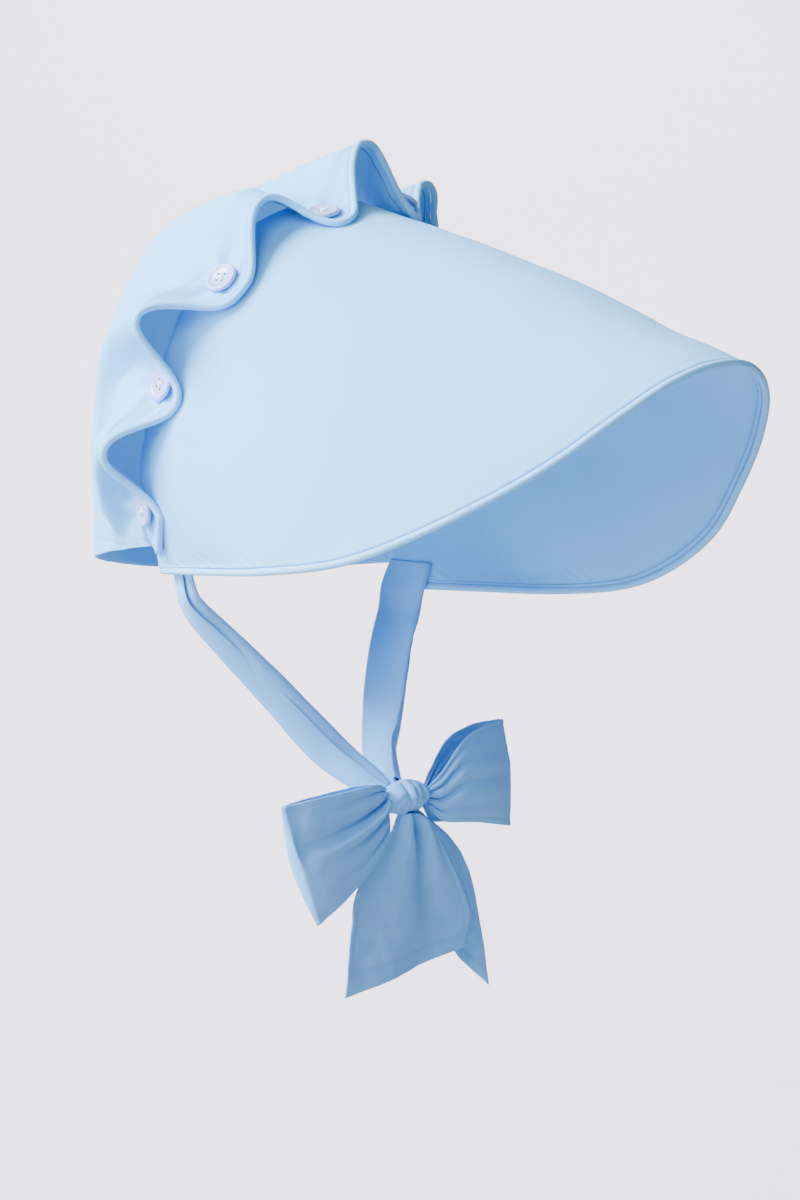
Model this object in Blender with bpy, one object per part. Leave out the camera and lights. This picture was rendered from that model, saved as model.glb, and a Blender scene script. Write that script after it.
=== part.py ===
"""Sun bonnet with a buttoned crown: a deep drooping brim, a soft ruffled crown and a bow under the chin.

Origin: where the top of the head meets the inside of the bonnet, at the top of the arch at the back
of the brim. The wearer looks along -Y, the wearer's right side is -X, +Z is up.
Every length below is in millimetres and every angle in degrees, unless its name says share.
"""
import math

import bmesh
import bpy
import numpy as np
from mathutils import Matrix, Vector

MM = 0.001

# Cloth, cord and clearances
BRIM_WALL = 2.0
CROWN_WALL = 1.2
TIE_WALL = 1.0
PIPING_RADIUS = 2.0
CROWN_PIPING_GAP = 1.5
CLEARANCE = 0.4

# Arch: the back edge of the brim, which frames the head
ARCH_HALF_WIDTH = 104.0
ARCH_HEIGHT = 204.0
ARCH_LEAN = 52.0

# Brim, measured from the top of the arch to the fabric edge
BRIM_REACH = 256.0
BRIM_TIP_DROP = 107.0
RIM_HALF_WIDTH = 127.0
BRIM_BOW = 4.5

# Crown
CROWN_SPAN_SHARE = 0.96
NAPE_DEPTH = 99.0
NAPE_TURN = 91.5
BACK_ROUNDING = 1.0
OVERLAP = 34.0
OVERLAP_FOLD = 3.0
EDGE_SPREAD = 0.012
RUFFLE_HEIGHT = 27.0
RUFFLE_RUN = 80.0
EDGE_LIFT = 1.5
BUTTON_SEAT = 12.8

# Buttons
BUTTON_RADIUS = 9.0
BUTTON_THICKNESS = 2.6
BUTTON_RIM = 1.6
BUTTON_DISH = 0.7
BUTTON_EDGE = 0.6
BUTTON_HOLE_RADIUS = 1.0
BUTTON_HOLE_SPACING = 3.4

# Ties and bow
TIE_WIDTH = 58.0
TIE_SEAT_STATION = 0.93
TIE_SEAT_SHARE = 0.45
TIE_CUP = 0.35
TIE_LEFT_SPREAD = 1.7
TIE_RIGHT_END = (-0.85, -0.55, 0.35)
TIE_LEFT_END = (0.35, -0.85, 0.45)
KNOT_AHEAD = 38.0
KNOT_DROP = 326.0
KNOT_HALF_WIDTH = 14.5
KNOT_HALF_DEPTH = 10.0
KNOT_HALF_HEIGHT = 8.5
BOW_TURN = 10.0
LOOP_REACH = 84.0
LOOP_DEPTH = 9.0
LOOP_BULGE = 4.0
TAIL_LENGTH = 106.0
TAIL_WAVE = 4.0
TAIL_START = 2.0
REAR_TAIL_SET_BACK = 10.0

# Back edge of the brim from the top of the arch to a bottom corner.
# Columns: share of the way; out, of ARCH_HALF_WIDTH; back, of ARCH_LEAN; down, of ARCH_HEIGHT
ARCH_ROWS = (
    (0.00, 0.000, 0.00, 0.000),
    (0.10, 0.270, 0.06, 0.018),
    (0.24, 0.600, 0.28, 0.095),
    (0.42, 0.875, 0.60, 0.255),
    (0.55, 0.965, 0.80, 0.420),
    (0.72, 1.000, 1.05, 0.635),
    (0.86, 0.985, 1.15, 0.800),
    (1.00, 0.915, 1.00, 1.000),
)

# Front and bottom edge of the brim from its tip towards the same corner, where it meets the arch.
# Columns: share of the way; out, of RIM_HALF_WIDTH; ahead of the corner, of the corner to tip distance;
# down, of the height from tip to corner
RIM_ROWS = (
    (0.00, 0.000, 1.000, 0.000),
    (0.06, 0.172, 0.987, 0.031),
    (0.12, 0.325, 0.959, 0.120),
    (0.20, 0.482, 0.904, 0.297),
    (0.31, 0.651, 0.813, 0.552),
    (0.455, 0.863, 0.679, 0.823),
    (0.60, 0.980, 0.510, 1.016),
    (0.75, 0.996, 0.325, 1.055),
    (0.90, 0.855, 0.143, 1.030),
)

# Side view of the crown behind the arch, down to the nape.
# Columns: share of the turn from arch to nape; fullness, 1 at the arch's radius and 0 at the nape's
PROFILE_ROWS = (
    (0.00, 1.00),
    (0.10, 0.99),
    (0.22, 0.96),
    (0.30, 0.86),
    (0.36, 0.75),
    (0.43, 0.61),
    (0.54, 0.42),
    (0.70, 0.24),
    (0.85, 0.10),
    (1.00, 0.00),
)

# Folds of the crown's front edge, from the wearer's right corner over the top to the left corner.
# Columns: shares of the arch where the fold leaves the brim, reaches its top, leaves its top and is back
# on the brim; height, of RUFFLE_HEIGHT
FOLD_ROWS = (
    (0.068, 0.083, 0.104, 0.168, 0.95),
    (0.196, 0.217, 0.234, 0.275, 0.98),
    (0.317, 0.374, 0.390, 0.408, 0.66),
    (0.444, 0.498, 0.513, 0.536, 1.00),
    (0.556, 0.592, 0.610, 0.646, 1.12),
    (0.675, 0.714, 0.732, 0.773, 0.85),
    (0.806, 0.846, 0.863, 0.923, 0.95),
)

# Buttons between the folds.
# Columns: share of the arch; how far the crown's edge lies ahead of the arch there, of OVERLAP;
# length of the thread shank that clears the folds beside the button
BUTTON_ROWS = (
    (0.045, 0.76, 1.46),
    (0.1805, 0.72, 1.54),
    (0.300, 0.92, 0.54),
    (0.424, 1.10, 0.6),
    (0.545, 0.80, 1.06),
    (0.660, 0.85, 1.15),
    (0.789, 0.75, 0.46),
    (0.942, 0.65, 0.3),
)

# Each tie from its seam inside the brim's corner to the knot.
# Columns: share of the way; out, back and drop, each from knot to seam; width, of TIE_WIDTH;
# face, the angle from straight ahead that the cloth faces
TIE_ROWS = (
    (0.00, 1.000, 1.00, 0.000, 0.26, 104.0),
    (0.10, 0.920, 1.00, 0.115, 0.25, 104.0),
    (0.22, 0.870, 0.99, 0.230, 0.24, 95.0),
    (0.40, 0.680, 0.84, 0.395, 0.27, 75.0),
    (0.60, 0.430, 0.60, 0.610, 0.32, 60.0),
    (0.80, 0.160, 0.31, 0.860, 0.34, 45.0),
    (0.92, 0.040, 0.09, 0.965, 0.26, 35.0),
    (1.00, 0.000, 0.00, 1.000, 0.18, 25.0),
)

# Each layer of the two loops, from the knot to the outer fold.
# Columns: top edge out and up, bottom edge out and up, all of LOOP_REACH; half the depth, of LOOP_DEPTH
LOOP_RIGHT_ROWS = (
    (0.175, 0.055, 0.150, -0.085, 0.40),
    (0.290, 0.077, 0.180, -0.285, 0.80),
    (0.520, 0.036, 0.380, -0.510, 1.00),
    (0.785, -0.012, 0.570, -0.680, 0.90),
    (0.950, -0.048, 0.685, -0.775, 0.50),
    (1.000, -0.060, 0.705, -0.800, 0.00),
)
LOOP_LEFT_ROWS = (
    (0.175, 0.060, 0.175, -0.060, 0.40),
    (0.260, 0.160, 0.270, -0.150, 0.90),
    (0.420, 0.360, 0.420, -0.160, 1.30),
    (0.620, 0.465, 0.640, -0.165, 1.20),
    (0.790, 0.500, 0.850, -0.185, 0.60),
    (0.830, 0.505, 0.895, -0.190, 0.00),
)

# The two free ends, from the knot to the cut.
# Columns: edge on the wearer's right, out and down; edge on the left, out and down, all of TAIL_LENGTH
TAIL_FRONT_ROWS = (
    (-0.055, 0.084, 0.050, 0.084),
    (-0.110, 0.180, 0.150, 0.120),
    (-0.200, 0.310, 0.250, 0.265),
    (-0.320, 0.470, 0.345, 0.430),
    (-0.362, 0.740, 0.408, 0.600),
    (-0.383, 1.000, 0.360, 0.765),
)
TAIL_REAR_ROWS = (
    (0.020, 0.081, 0.100, 0.066),
    (0.060, 0.205, 0.350, 0.190),
    (0.100, 0.310, 0.495, 0.380),
    (0.110, 0.430, 0.570, 0.690),
    (0.130, 0.550, 0.610, 0.970),
)


def hermite(rows, at):
    """Values, at a share, on the smooth curve through rows whose first column is the share."""
    table = np.asarray(rows, float)
    stations = table[:, 0]
    values = table[:, 1:]
    slopes = np.gradient(values, stations, axis=0)
    i = int(np.clip(np.searchsorted(stations, at) - 1, 0, len(stations) - 2))
    step = stations[i + 1] - stations[i]
    t = (at - stations[i]) / step
    start = (1 + 2 * t) * (1 - t) ** 2 * values[i] + t * (1 - t) ** 2 * step * slopes[i]
    return start + t * t * (3 - 2 * t) * values[i + 1] + t * t * (t - 1) * step * slopes[i + 1]


def mirrored(rows):
    """Rows from -1 to 1, the first value changing sign on the wearer's right side."""
    right = [(-row[0], -row[1]) + tuple(row[2:]) for row in rows[:0:-1]]
    return right + list(rows)


def unit(vector):
    return vector / np.linalg.norm(vector)


def smoothstep(x):
    x = min(max(x, 0.0), 1.0)
    return x * x * (3 - 2 * x)


ARCH_TABLE = mirrored([
    (share, out * ARCH_HALF_WIDTH, back * ARCH_LEAN, -down * ARCH_HEIGHT)
    for share, out, back, down in ARCH_ROWS
])
CORNER = ARCH_TABLE[-1]
RIM_TABLE = mirrored([
    (
        share,
        out * RIM_HALF_WIDTH,
        CORNER[2] - ahead * (CORNER[2] + BRIM_REACH),
        -BRIM_TIP_DROP + down * (CORNER[3] + BRIM_TIP_DROP),
    )
    for share, out, ahead, down in RIM_ROWS
] + [CORNER])


def arch(s):
    """Point on the brim's back edge, s from -1 at the right corner to 1 at the left one."""
    return hermite(ARCH_TABLE, s)


def rim(s):
    """Point on the brim's free edge, s as for the arch."""
    return hermite(RIM_TABLE, s)


def brim_skin(s, t):
    """Outer face of the brim before it bows, t from 0 at the arch to 1 at the rim."""
    return (1 - t) * arch(s) + t * rim(s)


def brim_normal(s, t):
    """Outward direction of the brim's outer face."""
    s = min(max(s, -0.96), 0.96)
    t = min(max(t, 0.02), 0.98)
    along = brim_skin(s + 0.02, t) - brim_skin(s - 0.02, t)
    ahead = brim_skin(s, t + 0.02) - brim_skin(s, t - 0.02)
    return unit(np.cross(ahead, along))


def brim_outer(s, t):
    """Outer face of the brim, slightly bowed between arch and rim."""
    bow = BRIM_BOW * math.sin(math.pi * t) * (1 - s * s)
    return brim_skin(s, t) + bow * brim_normal(s, t)


POLE = arch(CROWN_SPAN_SHARE) + CLEARANCE * brim_normal(CROWN_SPAN_SHARE, 0.0)


def ruffle_height(s, spread=0.0):
    """How far the ruffle stands off at s, from 0 on the brim to about 1 on a fold, its flanks spread out."""
    at = 0.5 + 0.5 * s
    for rise, top, top_end, fall, height in FOLD_ROWS:
        up = smoothstep((at - rise + spread) / (top - rise + spread))
        down = smoothstep((fall + spread - at) / (fall + spread - top_end))
        if up * down > 0:
            return height * up * down
    return 0.0


def overlap(s):
    """How far the crown's edge lies ahead of the arch at s."""
    at = min(max(0.5 + 0.5 * s, BUTTON_ROWS[0][0]), BUTTON_ROWS[-1][0])
    valley = OVERLAP * hermite(BUTTON_ROWS, at)[0]
    drawn_back = min(ruffle_height(s, EDGE_SPREAD), 1.0)
    return valley + (OVERLAP_FOLD - valley) * drawn_back


def crown_base(s, v):
    """Inner face of the crown without its ruffle.

    v runs from -1 at the front edge to 0 above the arch, and on to 1 at the nape.
    """
    station = s * CROWN_SPAN_SHARE
    if v < 0:
        length = np.linalg.norm(rim(station) - arch(station))
        t = -v * min(overlap(s) / length, 0.3)
        lift = CLEARANCE + EDGE_LIFT * smoothstep(-v * 1.6 - 0.6)
        return brim_outer(station, t) + lift * brim_normal(station, t)
    start = arch(station) + CLEARANCE * brim_normal(station, 0.0)
    back, rise = start[1] - POLE[1], start[2] - POLE[2]
    turn_start = math.atan2(back, max(rise, 1e-6)) if abs(s) < 1 else 0.0
    radius_start = math.hypot(back, rise)
    quarter = 0.5 * math.pi
    nape_out = POLE[0] * math.sin(s * quarter)
    nape_radius = NAPE_DEPTH * math.cos(s * quarter)
    turn = turn_start + (math.radians(NAPE_TURN) - turn_start) * v
    fullness = hermite(PROFILE_ROWS, min(v * (1 + BACK_ROUNDING * s * s), 1.0))[0]
    radius = nape_radius + (radius_start - nape_radius) * fullness
    across = start[0] + (nape_out - start[0]) * smoothstep(v)
    return np.array([across, POLE[1] + radius * math.sin(turn), POLE[2] + radius * math.cos(turn)])


def crown_direction(s, v):
    """Outward direction of the crown without its ruffle."""
    s = min(max(s, -0.97), 0.97)
    v = min(max(v, 0.06), 0.96)
    along = crown_base(s + 0.02, v) - crown_base(s - 0.02, v)
    back = crown_base(s, v + 0.03) - crown_base(s, v - 0.03)
    return unit(np.cross(along, back))


def crown_inner(s, v):
    """Inner face of the crown with its ruffle."""
    base = crown_base(s, v)
    run = 0.0
    if v > 0:
        run = np.linalg.norm(base - crown_base(s, 0.0))
    fade = max(0.0, 1 - run / RUFFLE_RUN) ** 1.25 * (1 - max(v, 0.0) ** 2)
    return base + RUFFLE_HEIGHT * ruffle_height(s) * fade * crown_direction(s, v)


def crown_normal(s, v):
    """Outward direction of the crown with its ruffle."""
    s = min(max(s, -0.985), 0.985)
    v = min(max(v, -0.95), 0.95)
    along = crown_inner(s + 0.006, v) - crown_inner(s - 0.006, v)
    back = crown_inner(s, v + 0.04) - crown_inner(s, v - 0.04)
    return unit(np.cross(along, back))


def material(name, colour, roughness):
    """Cloth or button finish."""
    made = bpy.data.materials.new(name)
    made.use_nodes = True
    shader = made.node_tree.nodes["Principled BSDF"]
    shader.inputs["Base Color"].default_value = (*colour, 1)
    shader.inputs["Roughness"].default_value = roughness
    shader.inputs["Metallic"].default_value = 0
    return made


def add_object(name, data, finish):
    made = bpy.data.objects.new(name, data)
    made.data.materials.append(finish)
    bpy.context.collection.objects.link(made)
    return made


def sheet(name, columns, rows, point, wall, side, finish):
    """Cloth through point(column, row) for every pair, thickened by its wall to the given side."""
    mesh = bpy.data.meshes.new(name)
    bm = bmesh.new()
    bmesh.ops.create_grid(bm, x_segments=len(columns) - 1, y_segments=len(rows) - 1, size=1)
    for vert in bm.verts:
        column = columns[round((vert.co.x + 1) / 2 * (len(columns) - 1))]
        row = rows[round((vert.co.y + 1) / 2 * (len(rows) - 1))]
        vert.co = Vector(point(column, row) * MM)
    bmesh.ops.remove_doubles(bm, verts=bm.verts, dist=1e-6)
    for face in bm.faces:
        face.smooth = True
    bm.to_mesh(mesh)
    bm.free()
    made = add_object(name, mesh, finish)
    solidify = made.modifiers.new("Wall", "SOLIDIFY")
    solidify.thickness = wall * MM
    solidify.offset = side
    return made


def cord(name, points, radius, finish):
    """Piping: a round cord through the points."""
    curve = bpy.data.curves.new(name, "CURVE")
    curve.dimensions = "3D"
    curve.bevel_depth = radius * MM
    curve.bevel_resolution = 1
    curve.use_fill_caps = True
    spline = curve.splines.new("POLY")
    spline.points.add(len(points) - 1)
    for spot, point in zip(spline.points, points):
        spot.co = (*(point * MM), 1)
    return add_object(name, curve, finish)


def make_brim(finish):
    columns = list(np.linspace(-1, 1, 41))
    rows = list(np.linspace(0, 1, 9))
    return sheet("brim", columns, rows, brim_outer, BRIM_WALL, 1, finish)


def make_brim_piping(finish):
    points = []
    for s in np.linspace(-1, 1, 61):
        held = min(max(s, -0.96), 0.96)
        tangent = unit(rim(min(s + 0.01, 1)) - rim(max(s - 0.01, -1)))
        ahead = rim(held) - arch(held)
        ahead = unit(ahead - tangent * ahead.dot(tangent))
        inward = -0.5 * BRIM_WALL * brim_normal(held, 1.0)
        points.append(rim(s) + inward + (PIPING_RADIUS + CLEARANCE) * ahead)
    return cord("brim_piping", points, PIPING_RADIUS, finish)


def ruffle_stations():
    """Stations across the crown that follow its valleys, flanks and tops."""
    shares = [0.0, 0.015, 0.030, 0.045]
    for rise, top, top_end, fall, _ in FOLD_ROWS:
        shares += [rise, *np.linspace(rise, top, 4)[1:], 0.5 * (top + top_end), *np.linspace(top_end, fall, 4)]
    for (_, _, _, fall, _), (rise, _, _, _, _) in zip(FOLD_ROWS, FOLD_ROWS[1:]):
        shares.append(0.5 * (fall + rise))
    shares += [0.942, 0.96, 0.98, 1.0]
    return [2 * share - 1 for share in sorted(shares)]


def make_crown(finish):
    rows = [-1, -0.6, 0, 0.06, 0.12, 0.2, 0.28, 0.35, 0.43, 0.54, 0.7, 0.85, 1]
    return sheet("crown", ruffle_stations(), rows, crown_inner, CROWN_WALL, 1, finish)


def make_crown_piping(finish):
    points = []
    for s in ruffle_stations()[1:-1]:
        edge = crown_inner(s, -1)
        ahead = unit(edge - crown_inner(s, -0.7))
        middle = edge + 0.5 * CROWN_WALL * crown_normal(s, -1)
        points.append(middle + (PIPING_RADIUS + CROWN_PIPING_GAP) * ahead)
    return cord("crown_piping", points, PIPING_RADIUS, finish)


def button_place(share, shank):
    """Seat of a button and the direction it faces, clear of the cloth that rises beside it."""
    s = 2 * share - 1
    v = BUTTON_SEAT / overlap(s) - 1
    step = 0.01
    stretch = np.linalg.norm(crown_inner(s + step, v) - crown_inner(s - step, v)) / (2 * step)
    across = 1.06 * BUTTON_RADIUS / stretch
    ahead = 1.06 * BUTTON_RADIUS / overlap(s)
    ring = [0.125 * math.pi * n for n in range(16)]
    under = [(s + across * math.cos(a), v + ahead * math.sin(a)) for a in ring]
    outward = unit(crown_normal(s, v) + sum(crown_normal(*spot) for spot in under) / len(under))
    centre = crown_inner(s, v)
    rise = max((crown_inner(*spot) - centre).dot(outward) for spot in under)
    return centre + (CROWN_WALL + shank + max(rise, 0.0)) * outward, outward


def make_button_holes(name, place):
    """Cutter for the four thread holes of one button."""
    mesh = bpy.data.meshes.new(name)
    bm = bmesh.new()
    for x in (-0.5, 0.5):
        for y in (-0.5, 0.5):
            spot = Vector((x * BUTTON_HOLE_SPACING, y * BUTTON_HOLE_SPACING, 0.5 * BUTTON_THICKNESS)) * MM
            radius = BUTTON_HOLE_RADIUS * MM
            bmesh.ops.create_cone(
                bm, cap_ends=True, segments=6, radius1=radius, radius2=radius,
                depth=2 * BUTTON_THICKNESS * MM, matrix=Matrix.Translation(spot),
            )
    bm.to_mesh(mesh)
    bm.free()
    cutter = bpy.data.objects.new(name, mesh)
    cutter.matrix_world = place
    cutter.hide_render = True
    cutter.display_type = "WIRE"
    bpy.context.collection.objects.link(cutter)
    return cutter


def make_button(name, share, shank, finish):
    """Four-hole button on its seat."""
    seat, outward = button_place(share, shank)
    side = unit(np.cross((0.0, 0.0, 1.0), outward))
    turn = Matrix((side, np.cross(outward, side), outward)).transposed()
    place = Matrix.Translation(Vector(seat * MM)) @ turn.to_4x4()
    mesh = bpy.data.meshes.new(name)
    bm = bmesh.new()
    dish_radius = BUTTON_RADIUS - BUTTON_RIM
    dish_height = BUTTON_THICKNESS - BUTTON_DISH
    profile = [
        (0, 0),
        (BUTTON_RADIUS - BUTTON_EDGE, 0),
        (BUTTON_RADIUS, BUTTON_EDGE),
        (BUTTON_RADIUS, BUTTON_THICKNESS - BUTTON_EDGE),
        (BUTTON_RADIUS - BUTTON_EDGE, BUTTON_THICKNESS),
        (dish_radius, BUTTON_THICKNESS),
        (dish_radius - BUTTON_DISH, dish_height),
        (0, dish_height),
    ]
    verts = [bm.verts.new((r * MM, 0, z * MM)) for r, z in profile]
    edges = [bm.edges.new(pair) for pair in zip(verts, verts[1:])]
    bmesh.ops.spin(
        bm, geom=verts + edges, cent=(0, 0, 0), axis=(0, 0, 1),
        angle=2 * math.pi, steps=16, use_merge=True, use_duplicate=False,
    )
    bmesh.ops.remove_doubles(bm, verts=bm.verts, dist=1e-6)
    bmesh.ops.recalc_face_normals(bm, faces=bm.faces)
    bm.to_mesh(mesh)
    bm.free()
    made = add_object(name, mesh, finish)
    made.matrix_world = place
    holes = made.modifiers.new("Thread holes", "BOOLEAN")
    holes.object = make_button_holes(f"{name}_holes", place)
    holes.operation = "DIFFERENCE"
    holes.solver = "EXACT"
    return made


def bow_point(out, ahead, up):
    """Point from the middle of the knot, measured in the turned plane of the bow."""
    turn = math.radians(BOW_TURN)
    x = out * math.cos(turn) - ahead * math.sin(turn)
    y = -out * math.sin(turn) - ahead * math.cos(turn)
    return np.array([x, y - KNOT_AHEAD, up - KNOT_DROP])


def knot_seat(out, ahead, up):
    """Point just off the knot's surface in a direction from its middle."""
    direction = unit(np.array([out, ahead, up]))
    half = np.array([KNOT_HALF_WIDTH, KNOT_HALF_DEPTH, KNOT_HALF_HEIGHT])
    reach = 1 / np.linalg.norm(direction / half)
    return bow_point(*((reach + CLEARANCE + 0.5 * TIE_WALL) * direction))


def tie_seam(side):
    """Middle of the seam that holds a tie inside the brim's corner, side -1 for the wearer's right."""
    station = side * TIE_SEAT_STATION
    depth = BRIM_WALL + 3 * CLEARANCE + 0.5 * TIE_WALL
    return brim_outer(station, TIE_SEAT_SHARE) - depth * brim_normal(station, TIE_SEAT_SHARE)


def make_tie(name, side, spread, end, finish):
    """Tie from the brim's corner to the knot, gathered at both ends."""
    seam = tie_seam(side)

    def centre(row):
        out, back, drop = hermite(TIE_ROWS, row)[:3]
        return np.array([
            end[0] + out * (seam[0] - end[0]),
            end[1] + back * (seam[1] - end[1]),
            seam[2] + drop * (end[2] - seam[2]),
        ])

    def point(column, row):
        width, face = hermite(TIE_ROWS, row)[3:]
        along = unit(centre(min(row + 0.01, 1)) - centre(max(row - 0.01, 0)))
        angle = math.radians(face)
        outward = np.array([side * math.sin(angle), -math.cos(angle), 0])
        across = unit(np.cross(along, outward))
        outward = np.cross(across, along)
        half = 0.5 * width * TIE_WIDTH * spread
        cup = TIE_CUP * half * (column * column - 0.4) * smoothstep(4 * row)
        return centre(row) + column * half * across - cup * outward

    columns = list(np.linspace(-1, 1, 5))
    rows = list(np.linspace(0, 1, 13))
    return sheet(name, columns, rows, point, TIE_WALL, 0, finish)


def make_loop(name, side, bulge, rows, finish):
    """Loop of the bow: a ribbon out from the knot, round its outer fold and back."""
    path = [(1, row) for row in rows] + [(-1, row) for row in rows[-2::-1]]

    def point(column, station):
        layer, (top_out, top_up, bottom_out, bottom_up, depth) = path[round(station)]
        share = 0.5 + 0.5 * column
        out = (bottom_out + share * (top_out - bottom_out)) * LOOP_REACH
        up = (bottom_up + share * (top_up - bottom_up)) * LOOP_REACH
        round_off = 1 - column * column
        out += bulge * round_off * out / LOOP_REACH
        swell = 0.55 + 0.45 * round_off
        return bow_point(side * out, layer * depth * swell * LOOP_DEPTH, up)

    columns = list(np.linspace(-1, 1, 7))
    return sheet(name, columns, list(range(len(path))), point, TIE_WALL, 0, finish)


def make_tail(name, rows, set_back, finish):
    """Free end of a tie below the knot."""
    def point(column, station):
        right_out, right_down, left_out, left_down = rows[round(station)]
        share = 0.5 + 0.5 * column
        out = (right_out + share * (left_out - right_out)) * TAIL_LENGTH
        down = (right_down + share * (left_down - right_down)) * TAIL_LENGTH
        along = station / (len(rows) - 1)
        ahead = TAIL_WAVE * along * math.sin(math.pi * (1.5 * column + along))
        behind = set_back * (0.45 + 0.55 * smoothstep(4 * along))
        return bow_point(out, TAIL_START + ahead - behind, -down)

    columns = list(np.linspace(-1, 1, 9))
    return sheet(name, columns, list(range(len(rows))), point, TIE_WALL, 0, finish)


def make_knot(finish):
    mesh = bpy.data.meshes.new("bow_knot")
    bm = bmesh.new()
    bmesh.ops.create_uvsphere(bm, u_segments=16, v_segments=10, radius=1)
    for vert in bm.verts:
        x, y, z = vert.co
        vert.co = Vector(bow_point(x * KNOT_HALF_WIDTH, -y * KNOT_HALF_DEPTH, z * KNOT_HALF_HEIGHT) * MM)
    for face in bm.faces:
        face.smooth = True
    bm.to_mesh(mesh)
    bm.free()
    return add_object("bow_knot", mesh, finish)


def make_bow(finish):
    make_tie("tie_right", -1, 1.0, knot_seat(*TIE_RIGHT_END), finish)
    make_tie("tie_left", 1, TIE_LEFT_SPREAD, knot_seat(*TIE_LEFT_END), finish)
    make_knot(finish)
    make_loop("bow_loop_right", -1, LOOP_BULGE, LOOP_RIGHT_ROWS, finish)
    make_loop("bow_loop_left", 1, 0.0, LOOP_LEFT_ROWS, finish)
    make_tail("bow_tail_front", TAIL_FRONT_ROWS, 0, finish)
    make_tail("bow_tail_rear", TAIL_REAR_ROWS, REAR_TAIL_SET_BACK, finish)


def remove_everything():
    for old in list(bpy.data.objects):
        bpy.data.objects.remove(old, do_unlink=True)


def main():
    remove_everything()
    cloth = material("blue_cotton", (0.55, 0.77, 0.93), 0.85)
    piping = material("blue_piping", (0.55, 0.77, 0.93), 0.75)
    plastic = material("button_plastic", (0.80, 0.80, 0.92), 0.35)
    make_brim(cloth)
    make_brim_piping(piping)
    make_crown(cloth)
    make_crown_piping(piping)
    for number, (share, _, shank) in enumerate(BUTTON_ROWS, 1):
        make_button(f"button_{number}", share, shank, plastic)
    make_bow(cloth)


main()
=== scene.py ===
"""Looks of a sun bonnet: cloth, piping, stitches, buttons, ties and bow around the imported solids.

Lengths in the tables are in millimetres, angles in degrees. The wearer looks along -Y, the wearer's
right side is -X, and the origin is the top of the arch at the back of the brim.
"""

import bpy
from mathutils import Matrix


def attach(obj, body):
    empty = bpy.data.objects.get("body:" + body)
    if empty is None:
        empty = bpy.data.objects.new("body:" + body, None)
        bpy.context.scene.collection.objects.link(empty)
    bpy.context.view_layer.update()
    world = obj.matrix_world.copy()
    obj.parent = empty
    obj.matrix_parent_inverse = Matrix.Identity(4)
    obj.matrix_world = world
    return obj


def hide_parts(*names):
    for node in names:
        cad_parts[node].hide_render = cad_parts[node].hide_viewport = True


bl_info = {
    "name": "Sun bonnet",
    "version": (1, 0, 0),
    "blender": (4, 5, 0),
    "location": "3D View > Sidebar > Bonnet",
    "description": "Builds the cloth, trim and bow of a sun bonnet around its packed solids",
    "category": "Object",
}

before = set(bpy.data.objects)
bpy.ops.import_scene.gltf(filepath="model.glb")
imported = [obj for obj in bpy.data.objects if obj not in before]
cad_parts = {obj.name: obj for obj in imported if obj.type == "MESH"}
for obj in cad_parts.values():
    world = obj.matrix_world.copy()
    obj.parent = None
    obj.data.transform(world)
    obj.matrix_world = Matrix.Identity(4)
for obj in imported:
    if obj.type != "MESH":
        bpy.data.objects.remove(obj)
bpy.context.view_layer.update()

import math

import bmesh
import bpy
import numpy as np
from bpy.props import FloatProperty, FloatVectorProperty, PointerProperty
from mathutils import Matrix, Vector, noise

MM = 0.001

# Cloth, cord and thread
BRIM_WALL = 2.0
CROWN_WALL = 1.2
TIE_WALL = 0.8
CLEARANCE = 0.4
PIPING_RADIUS = 2.0
CROWN_PIPING_GAP = 1.5
WEAVE_HEIGHT = 0.12
TOPSTITCH_INSET = 4.4
HEM_INSET = 12.0
# Buttonhole stitches: half length of a row, and each row's distance from the piping
HOLE_STITCH_RUN = 7.5
HOLE_STITCH_INSETS = (1.7, 2.7)

# Arch behind the brim, brim and crown
ARCH_HALF_WIDTH = 104.0
ARCH_HEIGHT = 204.0
ARCH_LEAN = 52.0
BRIM_REACH = 256.0
BRIM_TIP_DROP = 107.0
RIM_HALF_WIDTH = 127.0
BRIM_BOW = 4.5
BRIM_LEAST_DEPTH = 40.0
RIM_RUN = 560.0
CROWN_SPAN_SHARE = 0.96
NAPE_DEPTH = 99.0
NAPE_TURN = 91.5
NAPE_RUN = 150.0
CROWN_CHART = (380.0, 85.0)
BACK_ROUNDING = 1.0
OVERLAP = 34.0
OVERLAP_FOLD = 3.0
EDGE_SPREAD = 0.012
RUFFLE_HEIGHT = 27.0
RUFFLE_RUN = 80.0
EDGE_LIFT = 1.5
FOLD_ROUNDING = 0.0125
FOLD_GROWTH = 1.05

# Ties and bow
TIE_WIDTH = 58.0
TIE_SEAT_STATION = 0.93
TIE_SEAT_SHARE = 0.45
TIE_LEFT_TURN = 34.0
KNOT_AHEAD = 38.0
KNOT_DROP = 326.0
KNOT_HALF = (14.5, 10.0, 8.5)
KNOT_CREASE = 0.12
BOW_TURN = 10.0
LOOP_REACH = 84.0
LOOP_DEPTH = 9.0
TAIL_LENGTH = 106.0

# Back edge of the brim: share of the way, out, back and down
ARCH_ROWS = (
    (0.00, 0.000, 0.00, 0.000),
    (0.10, 0.270, 0.06, 0.018),
    (0.24, 0.600, 0.28, 0.095),
    (0.42, 0.875, 0.60, 0.255),
    (0.55, 0.965, 0.80, 0.420),
    (0.72, 1.000, 1.05, 0.635),
    (0.86, 0.985, 1.15, 0.800),
    (1.00, 0.915, 1.00, 1.000),
)
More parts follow.
